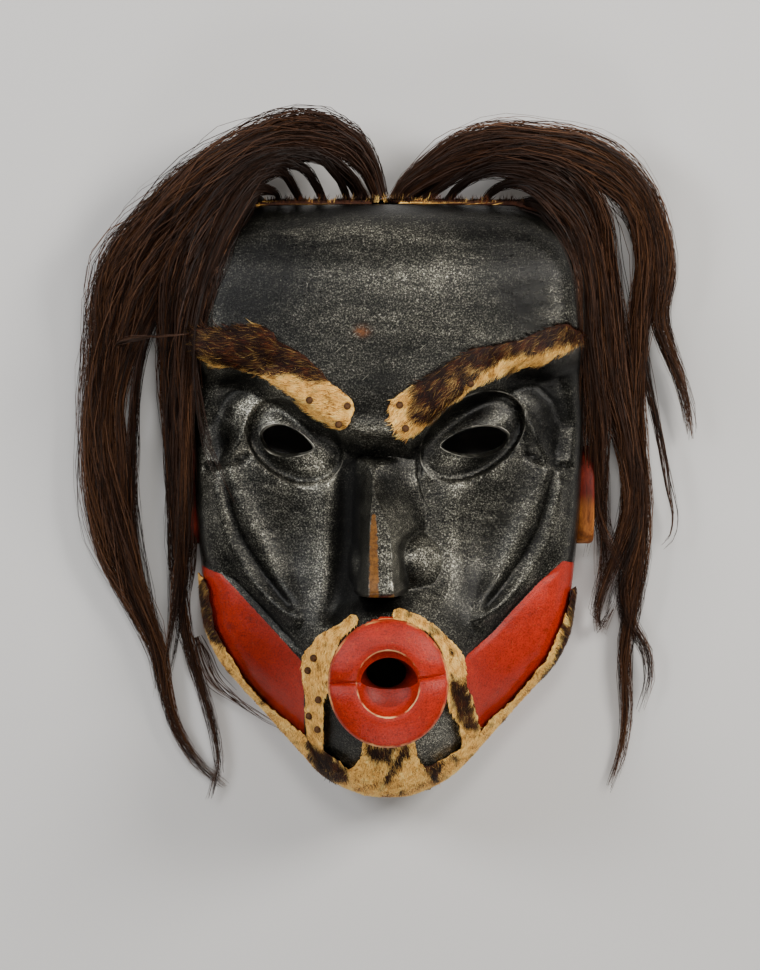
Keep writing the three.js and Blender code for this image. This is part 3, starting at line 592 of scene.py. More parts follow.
# Places where light or shade is painted on the paint, lighter with a share over nothing and
# darker with one under nothing: across, up, half breadth, half height and share
PAINTED_LIGHT_AND_SHADE = [
    (6, 115, 55, 20, 0.5), (-28, 140, 50, 6, 0.5), (89, 99, 10, 18, 0.7), (-70, 122, 36, 36, -1.2),
    (72, 124, 34, 34, -1.2), (90, 54, 20, 28, -0.85), (10, 149, 90, 11, -0.85),
    (30, -124, 15, 16, 1.7), (-8, 39, 17, 5, 1.0), (-8, 60, 20, 16, -0.5), (-63, 48, 12, 9, 5.0),
    (-39, 17, 11, 8, 2.8), (60, 47, 6, 11, 0.9), (48, 47, 9, 10, -1.0), (32, 20, 10, 6, 1.0),
    (-37, -25, 8, 30, 0.5), (25, -10, 9, 24, 0.6), (-52, -12, 16, 24, 0.7), (48, -13, 21, 22, 1.35),
    (19, -29, 14, 17, 1.6), (11, -8, 9, 16, 1.7), (-24, -18, 7, 34, -0.55),
    (-14, -12, 4.5, 34, -0.55), (-8, -56, 18, 7, -0.8), (47, -46, 16, 14, -0.8),
    (-52, -50, 14, 12, -0.5), (-70, -78, 30, 45, -0.52), (76, 36, 8, 12, -0.5),
    (25, -29, 8, 20, 2.6), (5.5, -25, 5, 19, 1.3), (-1, 7, 8, 13, -0.7), (-27, -120, 12, 14, -0.7),
]
PAINTED_SHADING_RANGE = (0.25, 6)
# Heights and reach of the mouth's walls, and how much darker they are painted there: painted shade in the
# hole
MOUTH_WALL = dict(low=60, middle=104, high=112, reach=0.7, deep=0.2, shallow=0.6)
# Up to how many millimetres the distances to edges and to the red, and how proud a place
# stands, are stored
EDGE_REACH = 4.0
RED_REACH = 5.0
PROUD_REACH = 3
# How far under the neck of an eye hole its walls begin, and how far over it its front edge
EYE_WALL = 1
EYE_FRONT = 3
# Depth under the carved surface where bare wood starts and over which it blends in, and the
# height of the back rim
BARE_DEPTH = 5
BARE_BLEND = 2
RIM_HEIGHT = 0.5
# How much the painted shade of the nose valley darkens the paint, and how far out the lips are painted as
# a share of their disc
NOSE_VALLEY_SHADE_DARKENING = 0.6
LIPS_REACH = 1.02
# The light rim of the lips and the ring round their bowl, as shares of the disc
LIPS_RIM = 0.985
LIPS_RING = 0.522
MM_PER_LIPS = 31
# Reaches over which a place is compared with its surroundings, and in how many directions
SURROUNDINGS = (4.0, 9.0)
DIRECTIONS = 6


def inside_polygon(x, y, points):
    inside = np.zeros(np.shape(x), bool)
    for (ax, ay), (bx, by) in zip(points, points[1:] + points[:1]):
        if ay == by:
            continue
        crosses = ((ay > y) != (by > y)) & (x < (bx - ax) * (y - ay) / (by - ay) + ax)
        inside ^= crosses
    return inside


def signed_distance(x, y, points):
    """Distance to the edge of an outline, above nothing inside it."""
    distance = chain_distance(x, y, points + points[:1])
    return np.where(inside_polygon(x, y, points), distance, -distance)


def store(piece, name, values):
    layer = piece.data.attributes.new(name, "FLOAT", "POINT")
    layer.data.foreach_set("value", np.asarray(values, np.float32))


def carving_points(piece):
    """The piece's points in millimetres about the middle of the face."""
    points = np.empty(3 * len(piece.data.vertices), np.float32)
    piece.data.vertices.foreach_get("co", points)
    return ((points.reshape(-1, 3) - np.array(SHIFT)) / MM).astype(float).T


def prominence(x, y):
    """How far the carved surface stands out of its surroundings, under nothing in hollows."""
    def height(a, b):
        on_nose = (np.abs(a) < NOSE_REACH) & (b > NOSE_BOTTOM) & (b < NOSE_TOP)
        return np.maximum(face_height(a, b), np.where(on_nose, nose_on_face(a, b), 0))

    total = 0
    for reach in SURROUNDINGS:
        for turn in np.linspace(0, 2 * math.pi, DIRECTIONS, endpoint=False):
            around = height(x + reach * math.cos(turn), y + reach * math.sin(turn))
            total = total + around / (DIRECTIONS * len(SURROUNDINGS))
    return height(x, y) - total


def nearest(distances):
    """The least of several distances, up to the reach that is stored."""
    return np.minimum.reduce([*distances, np.full_like(distances[0], EDGE_REACH)])


def painted_shading_levels(x, y, nose_valley_shade, on_lips, in_mouth, z):
    """How much lighter or darker the paint is painted: painted light and shade at listed places, and
    painted shade in the nose valley and inside the mouth.
    """
    painted_shading = np.ones_like(x)
    for across, up, wide, tall, share in PAINTED_LIGHT_AND_SHADE:
        painted_shading = painted_shading + share * bump(away_from(dict(x=across, y=up, wide=wide, tall=tall), x, y), 1)
    painted_shading = np.where(on_lips, 1, np.clip(painted_shading, *PAINTED_SHADING_RANGE)) * (1 - NOSE_VALLEY_SHADE_DARKENING * nose_valley_shade)
    # Inside the mouth the paint is painted darker, most of all deep down: painted shade
    in_wall = np.where(z < MOUTH_WALL["middle"], MOUTH_WALL["deep"], MOUTH_WALL["shallow"])
    return np.where(in_mouth, in_wall, painted_shading)


def paint_face(piece):
    """Stores where the red, the wear and the bare wood are, the painted light and shade, and distances to
    worn and highlighted edges.
    """
    x, y, z = carving_points(piece)
    lips = away_from(LIPS, x, y)
    on_lips = (lips < LIPS_REACH) & (z > LIPS["back"])
    in_mouth = (lips < MOUTH_WALL["reach"]) & (z < MOUTH_WALL["high"]) & (z > MOUTH_WALL["low"])
    jaw = np.maximum(*(signed_distance(x, y, patch) for patch in JAW_PATCHES.values()))
    worn = bump(chain_distance(x, y, NOSE_WEAR), nose_wear_breadth(y))
    nose_valley_shade = bump((chain_distance(x, y, NOSE_VALLEY_SHADE_WAY) / NOSE_VALLEY_SHADE_BREADTH) ** 2, 1)
    sockets = [(oval_radius(eye["socket"], x, y) - 1) * eye["socket"]["short"] for eye in EYES.values()]
    scratch_and_highlight_distances = [chain_distance(x, y, way) for way in SCRATCHES_AND_NOSE_HIGHLIGHT]
    edges = [eye_edges(eye) for eye in EYES.values()]
    inner_hole = nearest([chain_distance(x, y, inner + inner[:1]) for inner, outer in edges])
    hole = np.abs(nearest([-signed_distance(x, y, outer) for inner, outer in edges]))
    behind = z > EYE_NECK - EYE_WALL
    shown = np.where(z > EYE_NECK + EYE_FRONT, hole, np.where(behind, inner_hole, EDGE_REACH))
    depth = np.where(chain_distance(x, y, OUTLINE) > WALL - 1, face_height(x, y) - z, 0)
    bare = np.clip((depth - BARE_DEPTH) / BARE_BLEND, 0, 1)
    in_hole = in_mouth | ((np.minimum(hole, inner_hole) < 1) & behind)
    stain = np.hypot(x - STAIN["x"], (y - STAIN["y"]) * STAIN["flat"])

    def from_edge(share):
        distance = np.clip((lips - share) * MM_PER_LIPS, -EDGE_REACH, EDGE_REACH)
        return np.where(on_lips, distance, EDGE_REACH)

    layers = {
        "red": np.where(on_lips, RED_REACH, np.clip(jaw, -RED_REACH, RED_REACH)),
        "lips": on_lips,
        "worn": np.where(z > NOSE_WEAR_LOW, worn, 0),
        "nose_valley_shade": nose_valley_shade,
        "socket": np.clip(nearest(sockets), -EDGE_REACH, EDGE_REACH),
        "hole": np.clip(shown, 0, EDGE_REACH),
        # How proud a place stands, used for painted light on ridges and painted shade in hollows
        "ridge": np.clip(prominence(x, y), -PROUD_REACH, PROUD_REACH),
        "painted_shading": painted_shading_levels(x, y, nose_valley_shade, on_lips, in_mouth, z),
        "stain": bump(stain, STAIN["wide"]),
        "scratch_and_highlight": np.where(on_lips, EDGE_REACH, nearest(scratch_and_highlight_distances)),
        "rim": from_edge(LIPS_RIM),
        "ring": from_edge(LIPS_RING),
        "inside": np.where(in_hole, 0, bare) + (z < RIM_HEIGHT),
    }
    for name, values in layers.items():
        store(piece, name, values)


class Look:
    def __init__(self, name):
        self.material = bpy.data.materials.new(name)
        self.material.use_nodes = True
        self.tree = self.material.node_tree

    def feed(self, socket, value):
        if isinstance(value, bpy.types.NodeSocket):
            self.tree.links.new(value, socket)
        else:
            socket.default_value = value

    def node(self, kind, inputs=None, **settings):
        new = self.tree.nodes.new(kind)
        for key, value in settings.items():
            setattr(new, key, value)
        for key, value in (inputs or {}).items():
            self.feed(new.inputs[key], value)
        return new

    def place(self):
        return self.node("ShaderNodeTexCoord").outputs["Object"]

    def noise(self, scale, detail, rough, stretch=None):
        """Noise in the object's own space, drawn out along an axis by a small stretch."""
        place = self.place()
        if stretch:
            place = self.node("ShaderNodeMapping", {"Vector": place, "Scale": stretch}).outputs["Vector"]
        inputs = {"Vector": place, "Scale": scale, "Detail": detail, "Roughness": rough}
        return self.node("ShaderNodeTexNoise", inputs).outputs["Fac"]

    def attribute(self, name):
        return self.node("ShaderNodeAttribute", attribute_name=name).outputs["Fac"]

    def ramp(self, source, *stops):
        """Colour ramp from places and colours, where one number is a grey."""
        new = self.node("ShaderNodeValToRGB", {"Fac": source})
        elements = new.color_ramp.elements
        while len(elements) < len(stops):
            elements.new(0.5)
        for element, (place, colour) in zip(elements, stops):
            element.position = place
            element.color = (*colour, 1) if isinstance(colour, tuple) else (colour, colour, colour, 1)
        return new.outputs["Color"]

    def blend(self, share, first, second, kind="MIX"):
        new = self.node("ShaderNodeMix", data_type="RGBA", blend_type=kind)
        for index, value in ((0, share), (6, first), (7, second)):
            self.feed(new.inputs[index], (*value, 1) if isinstance(value, tuple) else value)
        return new.outputs[2]

    def shaded(self, colour, shade):
        return self.blend(1.0, colour, shade, "MULTIPLY")

    def math(self, operation, *values):
        return self.node("ShaderNodeMath", dict(enumerate(values)), operation=operation).outputs["Value"]

    def mul_add(self, value, factor, rise):
        return self.math("MULTIPLY_ADD", value, factor, rise)

    def least(self, *values):
        return self.math("MINIMUM", *values)

    def most(self, *values):
        return self.math("MAXIMUM", *values)

    def mixed(self, first, share, second, other_share):
        """Sum of two values, each by its share."""
        return self.mul_add(first, share, self.math("MULTIPLY", second, other_share))

    def line_share(self, name, breadth, ragged):
        """1 along a line whose distance is stored on the piece, with a frayed edge."""
        distance = self.math("ADD", self.math("ABSOLUTE", self.attribute(name)), -0.8 * breadth)
        distance = self.mul_add(ragged, breadth * 1.6, distance)
        return self.ramp(distance, (breadth * 0.45, 1), (breadth, 0))

    def bump(self, height, strength, distance, **more):
        inputs = {"Height": height, "Strength": strength, "Distance": distance, **more}
        return self.node("ShaderNodeBump", inputs).outputs["Normal"]

    def finish(self, colour, roughness, specular, **more):
        """Feeds the shader and returns the material."""
        values = {"Base Color": colour, "Roughness": roughness, "Specular IOR Level": specular, **more}
        for key, value in values.items():
            self.feed(self.tree.nodes["Principled BSDF"].inputs[key], value)
        return self.material


# Light lines on the paint, worn along edges and scratches, and along the rims of the sockets and eye holes
# also a painted highlight of the edge: the stored distance, the line's breadth and its colour
WEAR_AND_HIGHLIGHT_LINES = [
    ("socket", 0.28, (0.2, 0.19, 0.16)), ("hole", 0.4, (0.5, 0.48, 0.4)),
    ("scratch_and_highlight", 0.22, (0.4, 0.38, 0.3)), ("rim", 0.7, (0.75, 0.38, 0.13)),
    ("ring", 0.45, (0.78, 0.45, 0.2)),
]


def painted_wood():
    """Black paint with a graphite sheen and painted light and shade, red jaw panels and lips, bare wood
    where worn.
    """
    look = Look("painted_wood")
    ramp, noise = look.ramp, look.noise
    cloudy = noise(20, 5, 0.65)
    speckle = noise(1150, 3, 0.8)
    grit = noise(420, 4, 0.75)
    strokes = noise(240, 5, 0.75, (0.4, 1.0, 1.0))
    wiped = noise(70, 5, 0.7, (0.25, 1.0, 1.0))
    flakes = look.mixed(strokes, 0.2, speckle, 0.8)
    painted_shading, nose_valley_shade, inside = (look.attribute(name) for name in ("painted_shading", "nose_valley_shade", "inside"))

    black = ramp(flakes, (0.38, (0.004, 0.004, 0.004)), (0.49, (0.02, 0.019, 0.015)),
                 (0.58, (0.12, 0.115, 0.092)), (0.7, (0.6, 0.575, 0.48)))
    black = look.shaded(black, ramp(cloudy, (0.34, 0.55), (0.62, 1.0)))
    black = look.shaded(black, ramp(wiped, (0.38, 0.55), (0.62, 1.25)))
    # Painted light and shade on the black: lighter or darker at listed places, darker in the nose valley
    # and the mouth
    black = look.shaded(black, painted_shading)
    # Painted light on proud places and painted shade in grooves and hollows
    relief_shading = look.mul_add(look.attribute("ridge"), 0.42, 0.85)
    black = look.shaded(black, look.least(look.most(relief_shading, 0.35), 1.7))
    stain = look.math("MULTIPLY", look.attribute("stain"), ramp(grit, (0.4, 0.3), (0.55, 1)))
    black = look.blend(stain, black, (0.2, 0.07, 0.02))

    red = ramp(cloudy, (0.3, (0.27, 0.011, 0.003)), (0.7, (0.47, 0.022, 0.006)))
    red = look.shaded(red, ramp(flakes, (0.4, 0.55), (0.5, 1.0), (0.65, 1.25)))
    red = look.blend(ramp(grit, (0.6, 0), (0.75, 0.45)), red, (0.6, 0.12, 0.025))
    red = look.blend(ramp(noise(150, 6, 0.75), (0.55, 0), (0.75, 0.7)), red, (0.1, 0.007, 0.003))
    # The same painted shade on the red, where the paint is painted darker
    red = look.shaded(red, look.least(painted_shading, 1.0))
    ragged = look.mul_add(noise(350, 4, 0.7), 1.2, -0.6)
    red_place = look.mul_add(look.math("ADD", look.attribute("red"), ragged), 1.2, 0.5)
    red_share = ramp(red_place, (0.35, 0), (0.65, 1))
    paint = look.blend(red_share, black, red)

    fray = noise(300, 3, 0.6)
    broken = ramp(noise(70, 3, 0.6), (0.46, 0.04), (0.64, 1))
    bare_share = look.most(red_share, inside)
    for name, breadth, colour in WEAR_AND_HIGHLIGHT_LINES:
        line = look.math("MULTIPLY", look.line_share(name, breadth, fray), broken)
        bare_share = look.most(bare_share, line)
        paint = look.blend(line, paint, colour)
    worn = look.math("ADD", look.attribute("worn"), look.mul_add(grit, 0.9, -0.45))
    worn = ramp(worn, (0.45, 0), (0.6, 1))
    ochre = ramp(grit, (0.35, (0.07, 0.024, 0.003)), (0.65, (0.19, 0.08, 0.013)))
    paint = look.blend(worn, paint, ochre)
    grain = noise(45, 6, 0.65, (6.0, 1.0, 6.0))
    bare = ramp(grain, (0.3, (0.11, 0.06, 0.03)), (0.7, (0.27, 0.17, 0.09)))

    bare_share = look.most(bare_share, worn)
    # The painted shade of the nose valley is also duller and not metallic, so that it stays dark
    metallic = look.mul_add(look.most(bare_share, nose_valley_shade), -0.7, 0.7)
    shine = look.mul_add(nose_valley_shade, -0.3, look.mul_add(bare_share, -0.25, 0.5))
    sheen = ramp(look.mixed(cloudy, 0.6, strokes, 0.4), (0.35, 0.25), (0.65, 0.36))
    sheen = look.blend(red_share, sheen, (0.38, 0.38, 0.38))
    sheen = look.blend(look.most(inside, nose_valley_shade), sheen, (0.8, 0.8, 0.8))
    relief = look.mul_add(strokes, 0.6, look.mul_add(grit, 0.4, speckle))
    normal = look.bump(relief, 0.4, 0.0005)
    normal = look.bump(noise(60, 2, 0.5), 0.5, 0.001, Normal=normal)
    colour = look.blend(inside, paint, bare)
    return look.finish(colour, sheen, look.most(shine, 0.0), Metallic=metallic, Normal=normal)


face = carve_face()
paint_face(face)
face.data.materials.append(painted_wood())
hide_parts("mask_face")
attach(face, "root")


# Hides, as outlines in millimetres about the middle of the face
HIDE_GAP = 0.35
HIDE_RISE = 2.3
BROWS = {
    "left": [
        (-107, 86), (-93.6, 89.4), (-84.2, 88.4), (-68.6, 91.5), (-61.4, 88.4), (-56.5, 82.7),
        (-46.3, 77.5), (-38, 70.7), (-29.6, 61.4), (-19.8, 54.1), (-17.7, 46.8), (-23.4, 37.4),
        (-35.4, 42.1), (-44.2, 48.9), (-54.1, 57.7), (-64.5, 64), (-77.5, 69.2), (-90.5, 70.2),
        (-98, 75), (-107, 80),
    ],
    "right": [
        (0.5, 49.4), (3.6, 54.1), (18.2, 62.9), (30.2, 70.7), (43.7, 78.5), (56.2, 80.6), (67.6, 83.7),
        (80.1, 88.9), (92, 91.5), (101, 86.5), (97, 80.5), (88, 75.5), (81.6, 71.5), (73.8, 70),
        (61.9, 67.1), (46.8, 60.3), (30.7, 49.4), (21.8, 41.6), (14, 34.8), (8.5, 33), (3, 39.5),
    ],
}
MOUSTACHES = {
    "left": [
        (-19, -58.5), (-28.6, -65), (-36, -69), (-43, -78), (-45, -87), (-43.5, -98), (-42.6, -111),
        (-42.2, -126), (-39, -139), (-34.3, -144.6), (-26.5, -147.2), (-20.5, -142), (-24, -136),
        (-33, -129.5), (-33.3, -120), (-33.3, -110), (-32.8, -101), (-30, -95), (-29, -84), (-25, -72),
        (-16, -62),
    ],
    "right": [
        (4, -55), (11.4, -56.2), (21.8, -62), (29.6, -69), (38.5, -77.5), (40.2, -85), (41.2, -95),
        (45.2, -106.6), (47.8, -119.5), (44, -127), (39.5, -130), (38.5, -122), (35.9, -113.4),
        (32.2, -108), (30.2, -100), (30.7, -90), (28, -78), (21, -67), (10, -61.5), (3, -60),
    ],
}
BEARD = [
    (-108, -40), (-108, -80), (-90, -120), (-50, -160), (0, -170), (50, -160), (95, -120), (108, -80),
    (108, -44), (97, -46), (94.5, -56), (85.3, -79), (79, -88), (70.2, -98.8), (61.9, -107.1),
    (53, -113.9), (47.5, -121), (40, -127), (33.5, -131.5), (27, -134.5), (20, -137), (15.5, -133),
    (14, -125), (9, -123.5), (-4, -124.5), (-11.5, -123.5), (-14, -131), (-17, -137), (-23, -140),
    (-29, -140), (-37, -134), (-43, -122), (-48.9, -118), (-59.8, -109.2), (-68.1, -103), (-74.9, -94.1),
    (-81.1, -83.2), (-86.8, -74.9), (-92, -62), (-96, -42),
]
BEARD_LOW = 24.0
SCALP = {
    "left": [(-77, 149), (-4, 149), (-4, 166), (-77, 166)],
    "right": [(0, 149), (77, 149), (77, 166), (0, 166)],
}
SCALP_LOW = 18.0
SCALP_HIGH = 42.0

# Where the hair of the hides is dark brown, as outlines, and as a line with its breadth
BROWN_PATCHES = [
    [(92, -46), (104, -44), (108, -70), (96, -92), (84, -100), (80, -94), (88, -80), (93, -62)],
    [(-108, 92), (-51, 91), (-40.6, 80), (-29, 63), (-34.3, 61.4), (-45.8, 66.5), (-61.4, 65.5),
     (-74.4, 69),
     (-97.8, 73.8), (-108, 79)],
    [(13, 62), (30, 74), (44, 82), (57, 86), (70, 90), (84, 95), (104, 95), (103, 84), (92, 83),
     (76, 79), (62, 77),
     (52, 70), (41, 60), (27, 46), (20, 42), (13, 44)],
    [(-42.6, -126.4), (-41.1, -124.3), (-36.9, -126.9), (-30.2, -131.6), (-22.4, -137.8),
     (-20.3, -141.4),
     (-21.8, -145.1), (-26.5, -147.2), (-34.3, -144.6), (-39.5, -139.4)],
    [(16.6, -135.2), (28.1, -135.2), (25.5, -147.2)],
    [(-10.5, -125), (3.5, -125), (2, -131), (-4, -134), (-9, -131)],
    [(32, -88), (41, -93), (48, -118), (41, -118), (34, -106)],
    [(-97, -38), (-87, -50), (-83, -76), (-91, -74), (-104, -52)],
]
BROWN_STREAKS = [[(8.8, -126.4), (3, -137), (-2.5, -147)], [(88, -64), (100, -66)],
                 [(-86, -90), (-70, -112)]]


PEG = dict(radius=1.9, rise=2.2)
PEG_SUNK = 1.2
PEG_ROUND = 0.6
PEG_SIDES = 20
PEG_RINGS = 7
PEGS = {
    "peg_brow_left_": [(-40.5, 52.5), (-21, 49.5), (-25.5, 40)],
    "peg_brow_right_": [(6, 50), (9, 38), (42.5, 61)],
    "peg_moustache_": [(-38.5, -80.5), (-41.5, -87), (-36, -102), (-41, -111), (-36.5, -118)],
}

# Breadth of the streaks, size of the spots and of the ragged edges of the brown, and its blend
STREAK_BREADTH = 1.6
SPOT_SIZE = 3.6
SPOT_LEAST = 0.93
EDGE_SIZE = 2.2
BROWN_BLEND = 2.4

# How each hide is cut from the skin: outlines, the heights between, and how torn its edge is
ABOVE_ALL = 200
HIDE_CUTS = {
    "brow_hide_": (BROWS, 50, ABOVE_ALL, 0.35),
    "moustache_hide_": (MOUSTACHES, 40, ABOVE_ALL, 0.35),
    "beard_hide": ({"": BEARD}, BEARD_LOW, ABOVE_ALL, 0.45),
    "scalp_hide_": (SCALP, SCALP_LOW, SCALP_HIGH, 0.8),
}
# Across the top rim: where the strips of the scalp show cream, and the half breadth of each bit
CREAM_BITS = [(-66, 3), (-41, 1.4), (-30, 2), (-4, 2.6), (17, 3.6), (42, 1.6), (56, 1.3)]
# Fur of each hide: hairs tried, their length, which way they lie, and how many of them stand
# where the hide is cream; those of the beard hang down and away from the middle
FUR = {
    "brow_fur_left": dict(count=30000, length=7.5, towards=(-1, 0.1, 0), cream=0.25),
    "brow_fur_right": dict(count=26000, length=7, towards=(-0.8, -0.75, 0), cream=0.25),
    "moustache_fur_left": dict(count=16000, length=4, towards=(0.1, -1, 0), cream=0.5),
    "moustache_fur_right": dict(count=16000, length=4, towards=(0.1, -1, 0), cream=0.5),
    "scalp_fur_left": dict(count=9000, length=4.5, towards=(0.1, 1, 0.5), cream=0.25),
    "scalp_fur_right": dict(count=9000, length=4.5, towards=(0.1, 1, 0.5), cream=0.25),
    "beard_fur": dict(count=60000, length=5.5, towards=None, cream=0.5),
}
# Least and greatest half breadth of a hair, how steeply it rises, how unevenly the hairs lie,
# and least and greatest share of their length
FUR_WIDTH = (0.12, 0.2)
FUR_LIFT = (0.15, 0.5)
FUR_UNEVEN = 0.28
FUR_LENGTHS = (0.55, 1.15)


def smooth_way(points, count, closed=False):
    """Evenly spaced points on a smooth line through the given ones."""
    p = np.array(points, float)
    if closed:
        p = np.vstack([p[-1:], p, p[:2]])
    else:
        p = np.vstack([2 * p[0] - p[1], p, 2 * p[-1] - p[-2]])
    t = np.linspace(0, 1, 13)[:-1, None]
    parts = []
    for a, b, c, d in zip(p[:-3], p[1:-2], p[2:-1], p[3:]):
        parts.append(0.5 * (2 * b + (c - a) * t + (2 * a - 5 * b + 4 * c - d) * t ** 2
                            + (3 * b - 3 * c + d - a) * t ** 3))
    way = np.vstack(parts + [p[-2:-1]])
    length = np.concatenate([[0], np.cumsum(np.linalg.norm(np.diff(way, axis=0), axis=1))])
    at = np.linspace(0, length[-1], count + 1)[:-1] if closed else np.linspace(0, length[-1], count)
    return np.stack([np.interp(at, length, way[:, k]) for k in range(way.shape[1])], 1)


def ragged_outline(points, amount, spacing=1.1):
    """Smooth closed outline with a torn edge."""
    way = smooth_way(points, 600, closed=True)
    around = np.linalg.norm(np.roll(way, -1, 0) - way, axis=1).sum()
    way = smooth_way(points, max(24, int(around / spacing)), closed=True)
    tangent = unit(np.roll(way, -1, 0) - np.roll(way, 1, 0))
    shake = RNG.normal(size=len(way))
    slow = np.convolve(np.tile(RNG.normal(size=len(way)), 3), np.ones(5) / 5, "same")
    offset = amount * (0.45 * shake + 1.6 * slow[len(way):2 * len(way)])
    return [tuple(p) for p in way + np.stack([tangent[:, 1], -tangent[:, 0]], 1) * offset[:, None]]


def patchy(x, y, size, seed):
    """Smooth values from 0 to 1 in patches of about a size."""
    table = np.random.default_rng(seed).random((64, 64))
    u, v = np.asarray(x) / size + 500, np.asarray(y) / size + 500
    i, j = np.floor(u).astype(int), np.floor(v).astype(int)
    s, t = u - i, v - j
    s, t = s * s * (3 - 2 * s), t * t * (3 - 2 * t)

    def corner(a, b):
        return table[(i + a) % 64, (j + b) % 64]

    low = corner(0, 0) * (1 - s) + corner(1, 0) * s
    high = corner(0, 1) * (1 - s) + corner(1, 1) * s
    return low * (1 - t) + high * t


def fast_mesh(name, points, faces):
    """New object from arrays: points in millimetres and faces with one number of corners."""
    corners = np.concatenate([f.ravel() for f in faces]).astype(np.int32)
    totals = np.concatenate([np.full(len(f), f.shape[1]) for f in faces])
    starts = (np.cumsum(totals) - totals).astype(np.int32)
    mesh = bpy.data.meshes.new(name)
    mesh.vertices.add(len(points))
    mesh.vertices.foreach_set("co", (points * MM + np.array(SHIFT)).astype(np.float32).ravel())
    mesh.loops.add(len(corners))
    mesh.loops.foreach_set("vertex_index", corners)
    mesh.polygons.add(len(starts))
    mesh.polygons.foreach_set("loop_start", starts)
    mesh.update(calc_edges=True)
    mesh.polygons.foreach_set("use_smooth", np.ones(len(starts), bool))
    return link_object(name, mesh)


def brown_share(x, y):
    """How brown the hair of the hides is at a place."""
    best = np.max([signed_distance(x, y, patch) for patch in BROWN_PATCHES], axis=0)
    for streak in BROWN_STREAKS:
        best = np.maximum(best, STREAK_BREADTH - chain_distance(x, y, streak))
    spots = (patchy(x, y, SPOT_SIZE, 3) - SPOT_LEAST) * 9
    ragged = 3 * (patchy(x, y, EDGE_SIZE, 4) - 0.5)
    return np.clip(0.5 + (np.maximum(best, spots) + ragged) / BROWN_BLEND, 0, 1)


def scalp_brown(x, y):
    """The scalp strips are dark, with a few cream bits."""
    cream = np.max([bump(x - place, breadth) for place, breadth in CREAM_BITS], axis=0)
    return 1 - np.clip(1.6 * cream - 0.3, 0, 1)


def browning(name, x, y):
    return scalp_brown(x, y) if name.startswith("scalp") else brown_share(x, y)


def carve_hides():
    """The strips of hide, cut from a skin that lies over the carved face."""
    skin = face_block("skin", HIDE_RISE)
    combine(skin, face_block("bare", HIDE_GAP), "DIFFERENCE")
    combine(skin, lips_block(HIDE_GAP), "DIFFERENCE")
    hides = {}
    for kind, (outlines, low, high, torn) in HIDE_CUTS.items():
        for side, outline in outlines.items():
            node = kind + side
            piece = link_object(node + "_skin", skin.data.copy())
            combine(piece, prism("cut", ragged_outline(outline, torn), low, high), "INTERSECT")
            if node.startswith("moustache"):
                beard = prism("cut", ragged_outline(BEARD, 0), BEARD_LOW - 1, ABOVE_ALL)
                combine(piece, beard, "DIFFERENCE")
            smooth_shade(piece)
            x, y, z = carving_points(piece)
            store(piece, "brown", browning(node, x, y))
            hides[node] = piece
    bpy.data.objects.remove(skin)
    return hides


def surface_points(piece, count):
    """Random points on a piece, spread evenly over its surface, with their normals."""
    mesh = piece.data
    mesh.calc_loop_triangles()
    corners = np.empty(3 * len(mesh.loop_triangles), np.int32)
    mesh.loop_triangles.foreach_get("vertices", corners)
    p = carving_points(piece).T[corners.reshape(-1, 3)]
    cross = np.cross(p[:, 1] - p[:, 0], p[:, 2] - p[:, 0])
    area = np.linalg.norm(cross, axis=1)
    pick = RNG.choice(len(p), count, p=area / area.sum())
    a, b = RNG.random((2, count, 1))
    over = a + b > 1
    a, b = np.where(over, 1 - a, a), np.where(over, 1 - b, b)
    chosen = p[pick]
    place = chosen[:, 0] + (chosen[:, 1] - chosen[:, 0]) * a + (chosen[:, 2] - chosen[:, 0]) * b
    return place, cross[pick] / area[pick][:, None]


def hair_way(towards, x, y):
    """Which way the hairs lie: all one way, or, without one, down and away from the middle."""
    if towards is None:
        return np.stack([0.9 * x / 60, -np.ones_like(x), -0.5 * np.ones_like(x)], 1)
    return np.tile(unit(np.array(towards, float)), (len(x), 1))


def fur(name, hide, count, length, towards, cream):
    """Short hairs on the outer side of a hide, each a narrow bent blade."""
    place, normal = surface_points(hide, count)
    x, y, z = place.T
    outward = unit(np.stack([x, y, np.zeros_like(x)], 1))
    on_top = (normal[:, 2] > 0.3) & ((z - face_height(x, y) > 1) | (y > FACE_TOP))
    on_side = (np.abs(normal[:, 2]) <= 0.3) & ((normal * outward).sum(1) > 0.5)
    brown = browning(name, x, y)
    keep = (on_top | on_side) & (RNG.random(count) < cream + (1 - cream) * brown)
    place, normal, brown = place[keep], normal[keep], brown[keep]
    total = len(place)
    along = hair_way(towards, place[:, 0], place[:, 1]) + RNG.normal(size=(total, 3)) * FUR_UNEVEN
    along = unit(along - normal * (along * normal).sum(1)[:, None])
    reach = length * RNG.uniform(*FUR_LENGTHS, (total, 1)) * (0.55 + 0.45 * brown[:, None])
    across = np.cross(along, normal)
    width = RNG.uniform(*FUR_WIDTH, (total, 1))
    lift = RNG.uniform(*FUR_LIFT, (total, 1))
    low = place - normal * 0.2
    mid = place + along * reach * 0.55 + normal * lift * reach * 0.45
    tip = place + along * reach + normal * lift * reach * 0.42
    points = np.stack([low - across * width, low + across * width, mid + across * width * 0.7,
                       mid - across * width * 0.7, tip], 1)
    first = 5 * np.arange(total)[:, None]
    piece = fast_mesh(name, points.reshape(-1, 3), [first + [0, 1, 2, 3], first + [3, 2, 4]])
    rust = np.clip(patchy(place[:, 0], place[:, 1], 5, 7) - 0.55, 0, 1)
    shade = 0.5 + (brown - 0.5) * 1.3 + RNG.normal(size=total) * 0.16 - 0.75 * rust
    store(piece, "brown", np.repeat(np.clip(shade, 0, 1), 5))
    clump = patchy(place[:, 0], place[:, 1], 3.2, 11)
    store(piece, "tone", np.repeat(np.clip(0.65 * RNG.random(total) + 0.75 * clump - 0.2, 0, 1), 5))
    return piece


